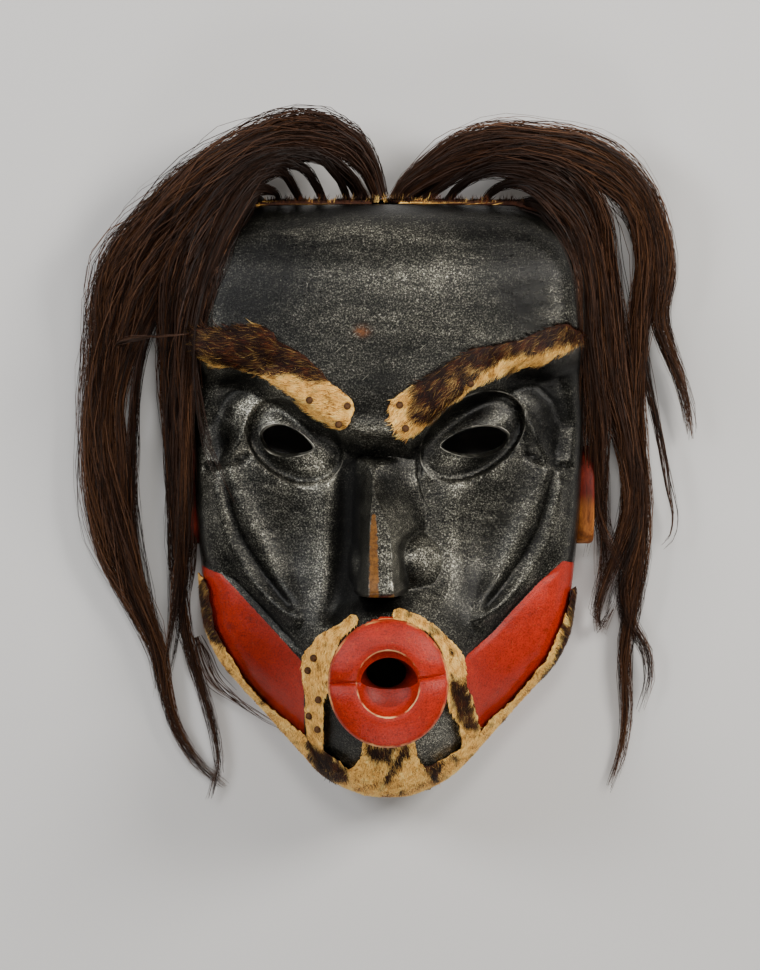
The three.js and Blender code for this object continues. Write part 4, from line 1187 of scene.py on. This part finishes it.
def hide_material():
    """Cream skin with golden and brown hair."""
    look = Look("hide_skin")
    mottle = look.noise(190, 5, 0.7)
    fine = look.noise(800, 4, 0.75)
    golden = look.mixed(look.noise(420, 5, 0.75, (1.0, 0.3, 1.0)), 0.6, mottle, 0.4)
    cream = look.ramp(golden, (0.34, (0.15, 0.055, 0.011)), (0.43, (0.52, 0.24, 0.048)),
                      (0.53, (0.9, 0.52, 0.125)), (0.64, (1.0, 0.79, 0.29)))
    dark = look.ramp(mottle, (0.3, (0.02, 0.006, 0.003)), (0.7, (0.07, 0.02, 0.007)))
    share = look.mul_add(fine, 0.7, look.math("ADD", look.attribute("brown"), -0.35))
    colour = look.blend(look.ramp(share, (0.35, 0), (0.7, 1)), cream, dark)
    normal = look.bump(look.mul_add(mottle, 1.2, fine), 0.6, 0.0008)
    return look.finish(colour, 0.65, 0.15, Normal=normal)


def fur_material():
    """Cream and brown hairs that vary from one to the next."""
    look = Look("hide_fur")
    tone = look.attribute("tone")
    dark = look.ramp(tone, (0.0, (0.005, 0.0012, 0.0004)), (0.6, (0.017, 0.0035, 0.0008)),
                     (1.0, (0.1, 0.022, 0.004)))
    cream = look.ramp(tone, (0.0, (0.05, 0.016, 0.004)), (0.15, (0.36, 0.15, 0.03)),
                      (0.45, (0.84, 0.45, 0.1)), (1.0, (1.0, 0.75, 0.25)))
    return look.finish(look.blend(look.attribute("brown"), cream, dark), 0.55, 0.15)


def finish_piece(piece, material, slot_name, *nodes):
    piece.data.materials.clear()
    piece.data.materials.append(material)
    if nodes:
        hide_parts(*nodes)
    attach(piece, "root")


hides = carve_hides()
hide_skin = hide_material()
hide_fur = fur_material()
for node, piece in hides.items():
    finish_piece(piece, hide_skin, "fur_hide", node)
for name, settings in FUR.items():
    finish_piece(fur(name, hides[name.replace("fur", "hide")], **settings), hide_fur, "fur_hide")


# Ways of the locks of hair: across and down in the photograph's pixels, height above the
# floor in millimetres, and the lock's half breadth in millimetres
# A lock's light is painted light on its strands, and its inner gives painted shade at its roots
LOCKS = {
    "left": [
        dict(count=420, light=0.14, way=[
            (383, 193, 30, 2), (372, 158, 34, 3.4), (350, 132, 36, 5), (309, 120, 37, 6),
            (264, 132, 36, 6), (207, 163, 34, 7), (160, 202, 30, 7), (119, 250, 24, 7),
            (102, 290, 19, 6), (96, 340, 15, 5), (90, 390, 12, 4.4), (86, 440, 11, 4),
            (87, 490, 10, 3.6), (94, 540, 9, 3), (107, 580, 8, 2.6), (131, 624, 8, 2),
            (150, 665, 7, 1.2), (152, 690, 6, 0.8), (150, 704, 5, 0.4),
        ]),
        dict(count=480, light=0.08, way=[
            (378, 194, 28, 2), (366, 164, 36, 3.4), (340, 141, 40, 5), (290, 137, 42, 6),
            (245, 152, 42, 7), (202, 185, 40, 7), (163, 225, 32, 7), (130, 272, 25, 7),
            (112, 325, 20, 5), (100, 385, 17, 3.2), (97, 425, 14, 3), (101, 470, 13, 3.8),
            (108, 505, 12, 4.2), (117, 550, 11, 4), (132, 600, 10, 3.4), (150, 645, 9, 2.4),
            (157, 680, 8, 1.6), (165, 722, 7, 1.2), (184, 762, 6, 0.9), (206, 785, 5, 0.6),
            (222, 797, 4, 0.3),
        ]),
        dict(count=230, inner=0.7, way=[
            (366, 194, 30, 1.8), (350, 170, 40, 2.4), (316, 148, 46, 3), (278, 150, 48, 3.8),
            (240, 172, 46, 5.4), (203, 206, 40, 6), (173, 246, 30, 6), (147, 300, 22, 4),
            (127, 345, 18, 2.2), (114, 395, 16, 1.5), (114, 430, 14, 1.5), (119, 475, 13, 2.2),
            (121, 505, 12, 2.4), (127, 560, 11, 2.2), (142, 620, 9, 1.8), (154, 660, 8, 1.4),
            (158, 690, 6, 0.8),
        ]),
        dict(count=95, inner=0.8, way=[
            (358, 194, 30, 1.4), (345, 170, 38, 2), (312, 150, 44, 3), (270, 154, 46, 3.6),
            (216, 198, 38, 4), (180, 246, 30, 3.6), (154, 300, 22, 2.4), (137, 345, 18, 1.7),
            (130, 395, 16, 1.3), (128, 435, 14, 1.4), (126, 480, 12, 1.8), (132, 560, 11, 1.8),
            (146, 620, 9, 1.4), (158, 690, 6, 0.6),
        ]),
        dict(count=260, inner=1.0, way=[
            (347, 195, 30, 1.4), (341, 180, 44, 1.6), (319, 155, 54, 2), (278, 155, 58, 2.8),
            (240, 182, 60, 5), (207, 226, 58, 6), (184, 266, 52, 6), (173, 305, 42, 4.6),
            (168, 345, 32, 3.8), (166, 395, 24, 3), (168, 450, 20, 2.4), (171, 515, 17, 2.2),
            (175, 575, 14, 2), (182, 635, 11, 1.8), (196, 685, 9, 1.4), (210, 733, 7, 1),
            (216, 770, 6, 0.7), (212, 793, 5, 0.5), (204, 811, 4, 0.3),
        ]),
        dict(count=240, inner=1.0, way=[
            (322, 196, 32, 1.4), (316, 183, 46, 1.5), (300, 163, 56, 1.7), (268, 164, 62, 2.4),
            (240, 193, 66, 4.4), (213, 240, 68, 5), (194, 285, 66, 5), (184, 335, 60, 4),
            (179, 390, 52, 3.4), (178, 450, 46, 3.4), (178, 505, 38, 3), (176, 560, 28, 2.6),
            (171, 610, 18, 2), (165, 650, 12, 1.4), (160, 682, 8, 0.8),
        ]),
        dict(count=190, inner=1.0, way=[
            (300, 197, 34, 1.4), (294, 186, 48, 1.5), (281, 168, 58, 1.7), (256, 175, 66, 2.2),
            (234, 206, 70, 3.6), (209, 260, 72, 4), (195, 305, 72, 4), (187, 355, 66, 3.6),
            (184, 405, 60, 3), (182, 460, 52, 3), (180, 515, 40, 2.6), (177, 560, 30, 2),
            (176, 596, 22, 1),
        ]),
        dict(count=45, inner=1.0, way=[
            (279, 198, 34, 1.2), (273, 189, 56, 1.3), (252, 192, 72, 1.8), (226, 236, 78, 2.4),
            (206, 288, 78, 2), (197, 335, 77, 1.8), (197, 385, 74, 1.4), (204, 435, 72, 1),
            (220, 478, 72, 0.6), (233, 506, 72, 0.3),
        ]),
        dict(count=200, inner=1.0, way=[
            (262, 200, 32, 1.8), (253, 196, 48, 2), (236, 208, 62, 3.4), (214, 252, 66, 4.4),
            (199, 300, 64, 4.4), (190, 345, 60, 4), (183, 400, 52, 3.6), (179, 455, 44, 3),
            (180, 505, 36, 2.6), (184, 560, 26, 2), (178, 612, 18, 1),
        ]),
        dict(count=160, inner=1.0, way=[
            (358, 194, 26, 1.6), (342, 168, 30, 2), (300, 146, 30, 3), (238, 176, 28, 6),
            (182, 250, 24, 7), (168, 318, 18, 5), (165, 380, 14, 4), (172, 450, 11, 3),
            (176, 520, 9, 2.4), (179, 590, 8, 2), (186, 650, 6, 1),
        ]),
        dict(count=24, way=[
            (330, 150, 36, 5), (240, 150, 34, 6), (150, 206, 28, 7), (98, 280, 18, 5), (80, 370, 13, 3),
            (75, 440, 11, 2), (79, 520, 10, 2), (98, 570, 9, 2), (130, 612, 8, 3), (160, 640, 8, 3),
        ]),
        dict(count=22, light=0.2, way=[(112, 341, 24, 1.2), (140, 337, 62, 1.2), (166, 336, 82, 1),
                                       (192, 335, 90, 0.6)]),
        dict(count=12, way=[
            (192, 640, 14, 3), (206, 682, 12, 3), (232, 706, 10, 2.4), (256, 722, 8, 1.6),
            (280, 735, 7, 0.8),
        ]),
    ],
    "right": [
        dict(count=380, light=0.14, way=[
            (394, 193, 30, 1.8), (407, 176, 34, 3), (430, 160, 36, 4.4), (461, 144, 37, 5.4),
            (503, 135, 37, 6), (553, 138, 35, 6), (590, 146, 32, 6), (624, 167, 28, 6),
            (652, 200, 24, 5), (665, 242, 20, 4), (666, 280, 17, 4), (664, 315, 15, 3),
            (674, 345, 13, 2.4), (687, 378, 12, 2.2), (695, 412, 11, 1.4), (698, 438, 10, 0.6),
        ]),
        dict(count=380, light=0.08, way=[
            (400, 194, 28, 1.8), (420, 180, 36, 2.8), (460, 158, 40, 4.6), (505, 149, 42, 6),
            (550, 152, 42, 6), (594, 164, 36, 6), (628, 186, 30, 5), (647, 220, 25, 4.2),
            (652, 265, 20, 3.6), (645, 312, 17, 3.6), (642, 355, 15, 3), (641, 405, 13, 2.8),
            (644, 450, 12, 2.6), (648, 500, 11, 2.4), (647, 560, 10, 2.2), (640, 605, 9, 2),
            (633, 640, 8, 1.4), (631, 670, 7, 0.9), (633, 722, 6, 0.5), (626, 765, 5, 0.4),
            (612, 800, 4, 0.3),
        ]),
        dict(count=300, inner=0.7, way=[
            (424, 196, 30, 1.6), (444, 181, 38, 2), (476, 163, 44, 2.8), (515, 154, 48, 3.6),
            (554, 162, 46, 4), (586, 184, 40, 4), (604, 218, 34, 3.6), (610, 256, 28, 3.6),
            (616, 300, 23, 4), (622, 350, 20, 4), (628, 400, 17, 3.6), (638, 450, 15, 3),
            (645, 500, 13, 2.8), (638, 550, 12, 2.2), (628, 590, 11, 2), (632, 620, 10, 1.5),
            (648, 642, 9, 1.1), (657, 665, 8, 0.8), (656, 695, 7, 0.5), (646, 719, 6, 0.3),
        ]),
        dict(count=260, inner=1.0, way=[
            (448, 197, 30, 1.4), (460, 184, 42, 1.6), (488, 169, 50, 2), (528, 172, 54, 2.8),
            (564, 191, 52, 3.6), (584, 216, 44, 3.6), (597, 252, 38, 3.6), (603, 300, 32, 3.6),
            (609, 350, 27, 3.6), (617, 400, 23, 3), (629, 450, 20, 2.4), (634, 500, 17, 2.2),
            (624, 545, 15, 2), (612, 580, 13, 1.6), (602, 612, 11, 1), (604, 636, 10, 0.8),
            (614, 620, 9, 0.5), (621, 602, 9, 0.4),
        ]),
        dict(count=220, inner=1.0, way=[
            (485, 198, 32, 1.4), (496, 186, 44, 1.5), (520, 180, 54, 2), (551, 194, 60, 3.4),
            (575, 221, 56, 4), (588, 262, 48, 4), (592, 310, 42, 4), (596, 360, 36, 3),
            (603, 410, 30, 2.4), (603, 460, 25, 2), (604, 510, 20, 2), (608, 550, 17, 1.8),
            (606, 585, 14, 1.4), (600, 600, 12, 0.8),
        ]),
        dict(count=170, inner=1.0, way=[
            (520, 202, 32, 1.6), (533, 198, 46, 2), (556, 212, 58, 3), (576, 243, 58, 3.2),
            (586, 290, 54, 3), (589, 335, 48, 2.8), (598, 385, 42, 2.2), (602, 430, 36, 1.8),
            (602, 480, 30, 1.8), (606, 520, 24, 1.6), (618, 552, 19, 1.2), (630, 580, 14, 0.8),
        ]),
        dict(count=50, inner=1.0, way=[
            (522, 204, 32, 2), (546, 213, 44, 2.2), (569, 238, 54, 2.2), (582, 285, 52, 2),
            (586, 335, 46, 1.8), (588, 385, 40, 1.6), (592, 430, 34, 1.4), (598, 480, 28, 1.2),
            (597, 530, 22, 0.8), (590, 560, 18, 0.5),
        ]),
        dict(count=45, light=0.14, way=[
            (560, 150, 30, 4), (610, 160, 26, 4), (645, 190, 22, 3), (668, 225, 18, 2),
            (677, 265, 16, 1.2), (672, 305, 14, 1), (680, 340, 13, 1), (692, 380, 12, 0.8),
            (701, 420, 11, 0.5), (700, 441, 10, 0.3),
        ]),
        dict(count=30, way=[
            (640, 300, 18, 3), (655, 380, 15, 2.6), (668, 440, 13, 1.6), (677, 485, 12, 1),
            (683, 515, 10, 0.6), (680, 538, 9, 0.4), (669, 550, 8, 0.3),
        ]),
        dict(count=130, inner=1.0, way=[
            (412, 195, 26, 1.6), (448, 170, 30, 2.4), (510, 150, 30, 4), (576, 188, 26, 4),
            (601, 238, 20, 3.6), (612, 310, 16, 4), (624, 380, 13, 4), (636, 450, 11, 3),
            (634, 520, 9, 2.4), (618, 575, 8, 1.6), (608, 618, 6, 0.8),
        ]),
    ],
}
# Points along a strand, its breadth, and strands for each one that a lock counts
HAIR_STEPS = 25
HAIR_WIDTH = 0.38
HAIR_DENSITY = 1.9
# Points on the smooth way of a lock, strands in a tuft, and the share and spread of loose ones
WAY_POINTS = 90
TUFT_STRANDS = 40
LOOSE_SHARE = 0.1
LOOSE_SPREAD = 1.9
# Spread of the tufts in a lock and of the strands in a tuft, and the least share of its way
# that a strand runs
TUFT_SPREAD = 0.8
STRAND_SPREAD = 0.36
SHORTEST = 0.45
# How far a strand's ribbon leans and twists, in radians
LEAN = 1.2
TWIST = 2
# Where stray hairs start to be held back, in millimetres up from the middle of the object
HAIR_TOP = 185.0
HELD_BACK = 0.6
# Least heights of the hair over the face and over the floor
OVER_FACE = 0.8
OVER_FLOOR = 0.6
# How much darker the roots of the inner locks are painted: painted shade under the outer locks
ROOT_SHADE = 0.9
# Length and height of the waves in a strand: millimetres, and shares of the lock's breadth
HAIR_WAVES = [(230, 0.22), (120, 0.14), (70, 0.07)]


def from_photo(way):
    """Millimetres about the middle of the face from places in the photograph."""
    way = np.array(way, float)
    way[:, 0] = (way[:, 0] - PHOTO_MIDDLE[0]) * MM_PER_PIXEL
    way[:, 1] = (PHOTO_MIDDLE[1] - way[:, 1]) * MM_PER_PIXEL
    return way


def side_and_up(along):
    """Level directions across the ways of the hair, and those that stand square on both."""
    along = unit(along)
    side = unit(np.cross(along, [0.0, 0.0, 1.0]))
    return side, np.cross(side, along)


def ribbons(name, ways, widths, tones):
    """Narrow ribbons, each turned its own way, along ways with the same number of points."""
    count, steps, _ = ways.shape
    side, up = side_and_up(np.gradient(ways, axis=1))
    share = np.linspace(0, 1, steps)[:, None]
    turn = RNG.uniform(-LEAN, LEAN, (count, 1, 1)) + RNG.uniform(-TWIST, TWIST, (count, 1, 1)) * share
    half = 0.5 * widths[:, :, None] * (side * np.cos(turn) + up * np.sin(turn))
    points = np.stack([ways - half, ways + half], 2).reshape(-1, 3)
    index = np.arange(count * steps * 2).reshape(count, steps, 2)
    left, right = index[..., 0], index[..., 1]
    faces = np.stack([left[:, :-1], right[:, :-1], right[:, 1:], left[:, 1:]], -1)
    piece = fast_mesh(name, points, [faces.reshape(-1, 4)])
    store(piece, "tone", np.repeat(tones.ravel(), 2))
    return piece


def wander(length, t, amount, shape):
    """Sideways waves along a lock, as shares of its breadth, for each of its strands or tufts."""
    total = 0
    for wave, height in HAIR_WAVES:
        angle = 2 * math.pi * t * length / wave
        sine, cosine = RNG.normal(size=(2, *shape)) * height * amount
        waves = sine[:, None] * np.sin(angle)[..., None]
        total = total + waves + cosine[:, None] * np.cos(angle)[..., None]
    return total


def lock_strands(lock):
    """Strands of one lock: they part at the root, run in smaller tufts and end unevenly."""
    count = int(lock["count"] * HAIR_DENSITY)
    guide = smooth_way(from_photo(lock["way"]), WAY_POINTS)
    length = np.linalg.norm(np.diff(guide[:, :3], axis=0), axis=1).sum()
    tufts = max(3, count // TUFT_STRANDS)
    tuft = RNG.integers(0, tufts, count)
    angle, far = RNG.random((2, tufts)) * [[2 * math.pi], [1]]
    middle = np.stack([np.cos(angle), np.sin(angle)], 1) * np.sqrt(far)[:, None] * TUFT_SPREAD
    own = RNG.normal(size=(count, 2)) * STRAND_SPREAD
    end = RNG.uniform(SHORTEST, 1, count) ** 0.8
    begin = np.abs(RNG.normal(size=count)) * 0.004
    steps = np.linspace(0, 1, HAIR_STEPS)
    t = begin[:, None] + (end - begin)[:, None] * steps[None, :]
    at = t * (len(guide) - 1)
    low = np.clip(at.astype(int), 0, len(guide) - 2)
    part = (at - low)[:, :, None]
    way = guide[low] * (1 - part) + guide[low + 1] * part
    side, up = side_and_up(guide[low + 1, :3] - guide[low, :3])
    drift = wander(length, np.tile(steps, (tufts, 1)), 1.1, (tufts, 2))
    loose = np.where(RNG.random(count) < LOOSE_SHARE, LOOSE_SPREAD, 1.0)[:, None, None]
    stray = wander(length, t, 0.8, (count, 2))
    grown = smooth_step(0, 0.12, t)[:, :, None]
    lower = smooth_step(0.35, 0.8, t)[:, :, None]
    spread = way[:, :, 3:4] * (0.65 + 0.35 * smooth_step(0.04, 0.2, t)[:, :, None])
    of_tuft = np.clip(middle[tuft][:, None, :] + drift[tuft] * grown * (1 + 0.7 * lower), -1.7, 1.7)
    of_strand = np.clip((own[:, None, :] + stray * grown) * loose, -1.5, 1.5)
    lean = of_tuft * (spread * (1 - 0.3 * lower) + 1.8 * lower)
    offset = lean + of_strand * (spread * (1 - 0.55 * lower) + 0.4)
    ways = way[:, :, :3] + side * offset[:, :, :1] + up * offset[:, :, 1:]
    above = np.maximum(0, ways[..., 1] + SHIFT[1] / MM - HAIR_TOP)
    ways[..., 1] -= HELD_BACK * above
    x, y, z = ways[..., 0], ways[..., 1], ways[..., 2]
    over = (np.abs(x) < half_width(y) - 1) & (y > FACE_BOTTOM) & (y < FACE_TOP - 1)
    ways[..., 2] = np.maximum(z, np.where(over, face_height(x, y) + OVER_FACE, OVER_FLOOR))
    thin = RNG.uniform(0.75, 1.15, count)[:, None] * (1 - 0.55 * steps[None, :] ** 3)
    tones = 0.5 + (RNG.random(tufts)[tuft] - 0.5) * 0.8 + (RNG.random(count) - 0.5) * 0.7
    # A lock's light lightens the tone of its strands: painted light on the outer, lit locks
    tones = np.clip(tones + lock.get("light", 0), 0, 1)
    shade = ROOT_SHADE * (1 - smooth_step(0.04, 0.3, t)) * lock.get("inner", 0.3)
    return ways, HAIR_WIDTH * thin, tones[:, None] * (1 - shade)


def hair_material():
    """Dark brown hair with a soft shine, a little redder and lighter on some strands."""
    look = Look("long_hair")
    colour = look.ramp(look.attribute("tone"), (0.0, (0.007, 0.003, 0.0015)), (0.5, (0.024, 0.009, 0.004)),
                       (0.8, (0.055, 0.021, 0.009)), (1.0, (0.12, 0.05, 0.021)))
    return look.finish(colour, 0.55, 0.2)


long_hair = hair_material()
for side, locks in LOCKS.items():
    for number, half in enumerate((locks[:3], locks[3:]), 1):
        parts = [lock_strands(lock) for lock in half]
        ways, widths, tones = (np.concatenate(group) for group in zip(*parts))
        piece = ribbons(f"hair_{side}_{number}", ways, widths, tones)
        finish_piece(piece, long_hair, "hair", *([f"hair_{side}"] if number == 1 else []))


EAR = dict(wall=100.5, y=4.0, tall=52.0, deep=27.0, out=8.5, low=8.0, edge=2.5, shell=2.6)
# Edge of an ear, as shares of its height and depth, and its middle
EAR_EDGE = [
    (-0.46, 0.02), (-0.49, 0.3), (-0.42, 0.68), (-0.24, 0.93), (0.0, 1.02), (0.26, 0.97), (0.44, 0.78),
    (0.5, 0.5), (0.49, 0.22), (0.42, 0.04), (0.2, -0.02), (-0.2, -0.02),
]
EAR_MIDDLE = (0.02, 0.5)
EAR_SIDES = 96
# How far the red of an ear comes down below its middle, in metres, and how sharply it ends
EAR_RED_LOW = 0.006
EAR_RED_EDGE = 60.0


def ear(side):
    """Wooden ear: a rounded plate on the side wall, hollowed a little inside its rim."""
    edge = smooth_way(EAR_EDGE, EAR_SIDES, closed=True)
    rows = []
    for share in (*np.linspace(1, 0.9, 8), *np.linspace(0.87, 0, 18)):
        spot = EAR_MIDDLE + (edge - EAR_MIDDLE) * share
        out = EAR["out"] - roll(np.full(EAR_SIDES, (1 - share) * EAR["tall"] * 0.45), EAR["edge"])
        hollow = EAR["shell"] * smooth_step(0.8, 0.62, np.full(EAR_SIDES, share))
        out = out - hollow * (0.7 + 0.3 * np.cos(6 * spot[:, 0]))
        rows.append(np.stack([
            side * (EAR["wall"] + out), EAR["y"] - spot[:, 0] * EAR["tall"],
            EAR["low"] + spot[:, 1] * EAR["deep"],
        ], 1))
    base = rows[0].copy()
    base[:, 0] = side * (EAR["wall"] - 1)
    points = np.concatenate([base] + rows)
    index, after, quads = ring_faces(len(rows) + 1, EAR_SIDES)
    back = index[:1]
    if side > 0:
        quads = quads[:, ::-1]
        back = back[:, ::-1]
    name = "ear_carving_" + ("right" if side > 0 else "left")
    piece = fast_mesh(name, points, [quads, back[:, ::-1]])
    store(piece, "crimson", np.full(len(points), float(side < 0)))
    return piece


def ear_material():
    """Wood with worn paint: red above, bare orange brown below; the left one is red all over."""
    look = Look("ear_wood")
    up = look.node("ShaderNodeSeparateXYZ", {"Vector": look.place()}).outputs["Y"]
    grain = look.noise(260, 6, 0.7, (1.0, 0.12, 1.0))
    low = (EAR["y"] * MM + SHIFT.y) - EAR_RED_LOW
    height = look.mul_add(up, EAR_RED_EDGE, -low * EAR_RED_EDGE)
    height = look.mul_add(grain, 1.4, look.math("ADD", height, -0.3))
    painted = look.most(look.ramp(height, (0.35, 0), (0.75, 1)), look.attribute("crimson"))
    bare = look.ramp(grain, (0.35, (0.06, 0.014, 0.003)), (0.5, (0.22, 0.065, 0.012)),
                     (0.65, (0.4, 0.14, 0.028)))
    red = look.ramp(grain, (0.35, (0.02, 0.003, 0.001)), (0.5, (0.1, 0.008, 0.003)),
                    (0.65, (0.17, 0.018, 0.006)))
    return look.finish(look.blend(painted, bare, red), 0.6, 0.2, Normal=look.bump(grain, 0.4, 0.0006))


def highest_around(x, y, reach):
    dx, dy = np.meshgrid([-reach, 0, reach], [-reach, 0, reach])
    return float(face_height(x + dx, y + dy).max())


def peg(name, x, y):
    """Round-headed wooden peg."""
    foot = highest_around(x, y, HIDE_RISE) + HIDE_RISE - PEG_SUNK
    angle = np.linspace(0, 2 * math.pi, PEG_SIDES, endpoint=False)

    def ring(radius, z):
        return np.stack([x + radius * np.cos(angle), y + radius * np.sin(angle), z + 0 * angle], 1)

    rings = [ring(PEG["radius"], foot)]
    for turn in (math.pi / 2 * k / PEG_RINGS for k in range(PEG_RINGS)):
        rise = foot + PEG_SUNK + PEG["rise"] * PEG_ROUND * math.sin(turn)
        rings.append(ring(PEG["radius"] * math.cos(turn), rise))
    index, after, quads = ring_faces(len(rings), PEG_SIDES)
    return fast_mesh(name + "_head", np.concatenate(rings), [quads, index[:1, ::-1], index[-1:]])


def peg_material():
    look = Look("peg_wood")
    colour = look.ramp(look.noise(500, 4, 0.7), (0.35, (0.025, 0.009, 0.003)), (0.7, (0.12, 0.05, 0.014)))
    return look.finish(colour, 0.65, 0.2)


ear_wood = ear_material()
for side, node in ((-1, "ear_left"), (1, "ear_right")):
    finish_piece(ear(side), ear_wood, "ear_wood", node)
peg_wood = peg_material()
for group, places in PEGS.items():
    for number, (x, y) in enumerate(places, 1):
        node = f"{group}{number}"
        finish_piece(peg(node, x, y), peg_wood, "peg_wood", node)


# Camera, floor and sky, in metres
CAMERA_DISTANCE = 2.4
CAMERA_AIM = 0.07
SENSOR_HEIGHT = 24
FLOOR_HALF = 3.0
FLOOR_DROP = 0.0002
FLOOR_COLOUR = (0.62, 0.61, 0.6, 1)
# Lights: where they are and aim at, their breadths, power and colour
LIGHTS = {
    "right_light": ((0.95, 0.5, 0.95), (0, 0, 0.06), (0.45, 0.45), 19, (1.0, 0.97, 0.92)),
    "left_light": ((-0.95, 0.42, 0.95), (0, 0, 0.06), (0.45, 0.45), 11.5, (0.97, 0.98, 1.0)),
    "top_light": ((0.03, 0.4, 1.4), (0, 0.02, 0.06), (0.3, 0.3), 7, (1.0, 0.98, 0.95)),
    "crown_light": ((-0.1, 1.15, 0.5), (0, 0.02, 0.06), (0.9, 0.2), 3, (1.0, 0.96, 0.9)),
    "chin_light": ((0.1, -1.0, 0.9), (0, -0.05, 0.06), (0.6, 0.4), 6, (1.0, 0.97, 0.92)),
}
SKY_COLOUR = (0.8, 0.85, 0.9, 1)
SKY_STRENGTH = 0.07


def make_camera():
    """The camera looks straight down on the lying mask, with the photograph's framing."""
    data = bpy.data.cameras.new("camera")
    camera = link_object("camera", data)
    target = Vector((
        (PHOTO_WIDTH / 2 - PHOTO_MIDDLE[0]) * MM_PER_PIXEL * MM,
        (PHOTO_MIDDLE[1] - PHOTO_HEIGHT / 2) * MM_PER_PIXEL * MM,
        CAMERA_AIM,
    )) + SHIFT
    camera.location = target + Vector((0, 0, CAMERA_DISTANCE))
    data.sensor_fit = "VERTICAL"
    data.sensor_height = SENSOR_HEIGHT
    data.lens = SENSOR_HEIGHT * CAMERA_DISTANCE / (PHOTO_HEIGHT * MM_PER_PIXEL * MM)
    bpy.context.scene.camera = camera


def area_light(name, place, aim, size, power, colour):
    data = bpy.data.lights.new(name, "AREA")
    data.shape = "RECTANGLE"
    data.size, data.size_y = size
    data.energy = power
    data.color = colour
    light = link_object(name, data)
    light.location = place
    light.rotation_euler = (Vector(aim) - Vector(place)).to_track_quat("-Z", "Y").to_euler()


def make_floor():
    mesh = bpy.data.meshes.new("floor")
    corners = [(-1, -1), (1, -1), (1, 1), (-1, 1)]
    mesh.from_pydata([(x * FLOOR_HALF, y * FLOOR_HALF, 0) for x, y in corners], [], [(0, 1, 2, 3)])
    floor = link_object("floor", mesh)
    floor.location.z = -FLOOR_DROP
    mesh.materials.append(Look("floor_paint").finish(FLOOR_COLOUR, 0.7, 0.5))


make_camera()
make_floor()
for name, settings in LIGHTS.items():
    area_light(name, *settings)
world = bpy.data.worlds.new("world")
bpy.context.scene.world = world
world.use_nodes = True
background = world.node_tree.nodes["Background"].inputs
background["Color"].default_value = SKY_COLOUR
background["Strength"].default_value = SKY_STRENGTH
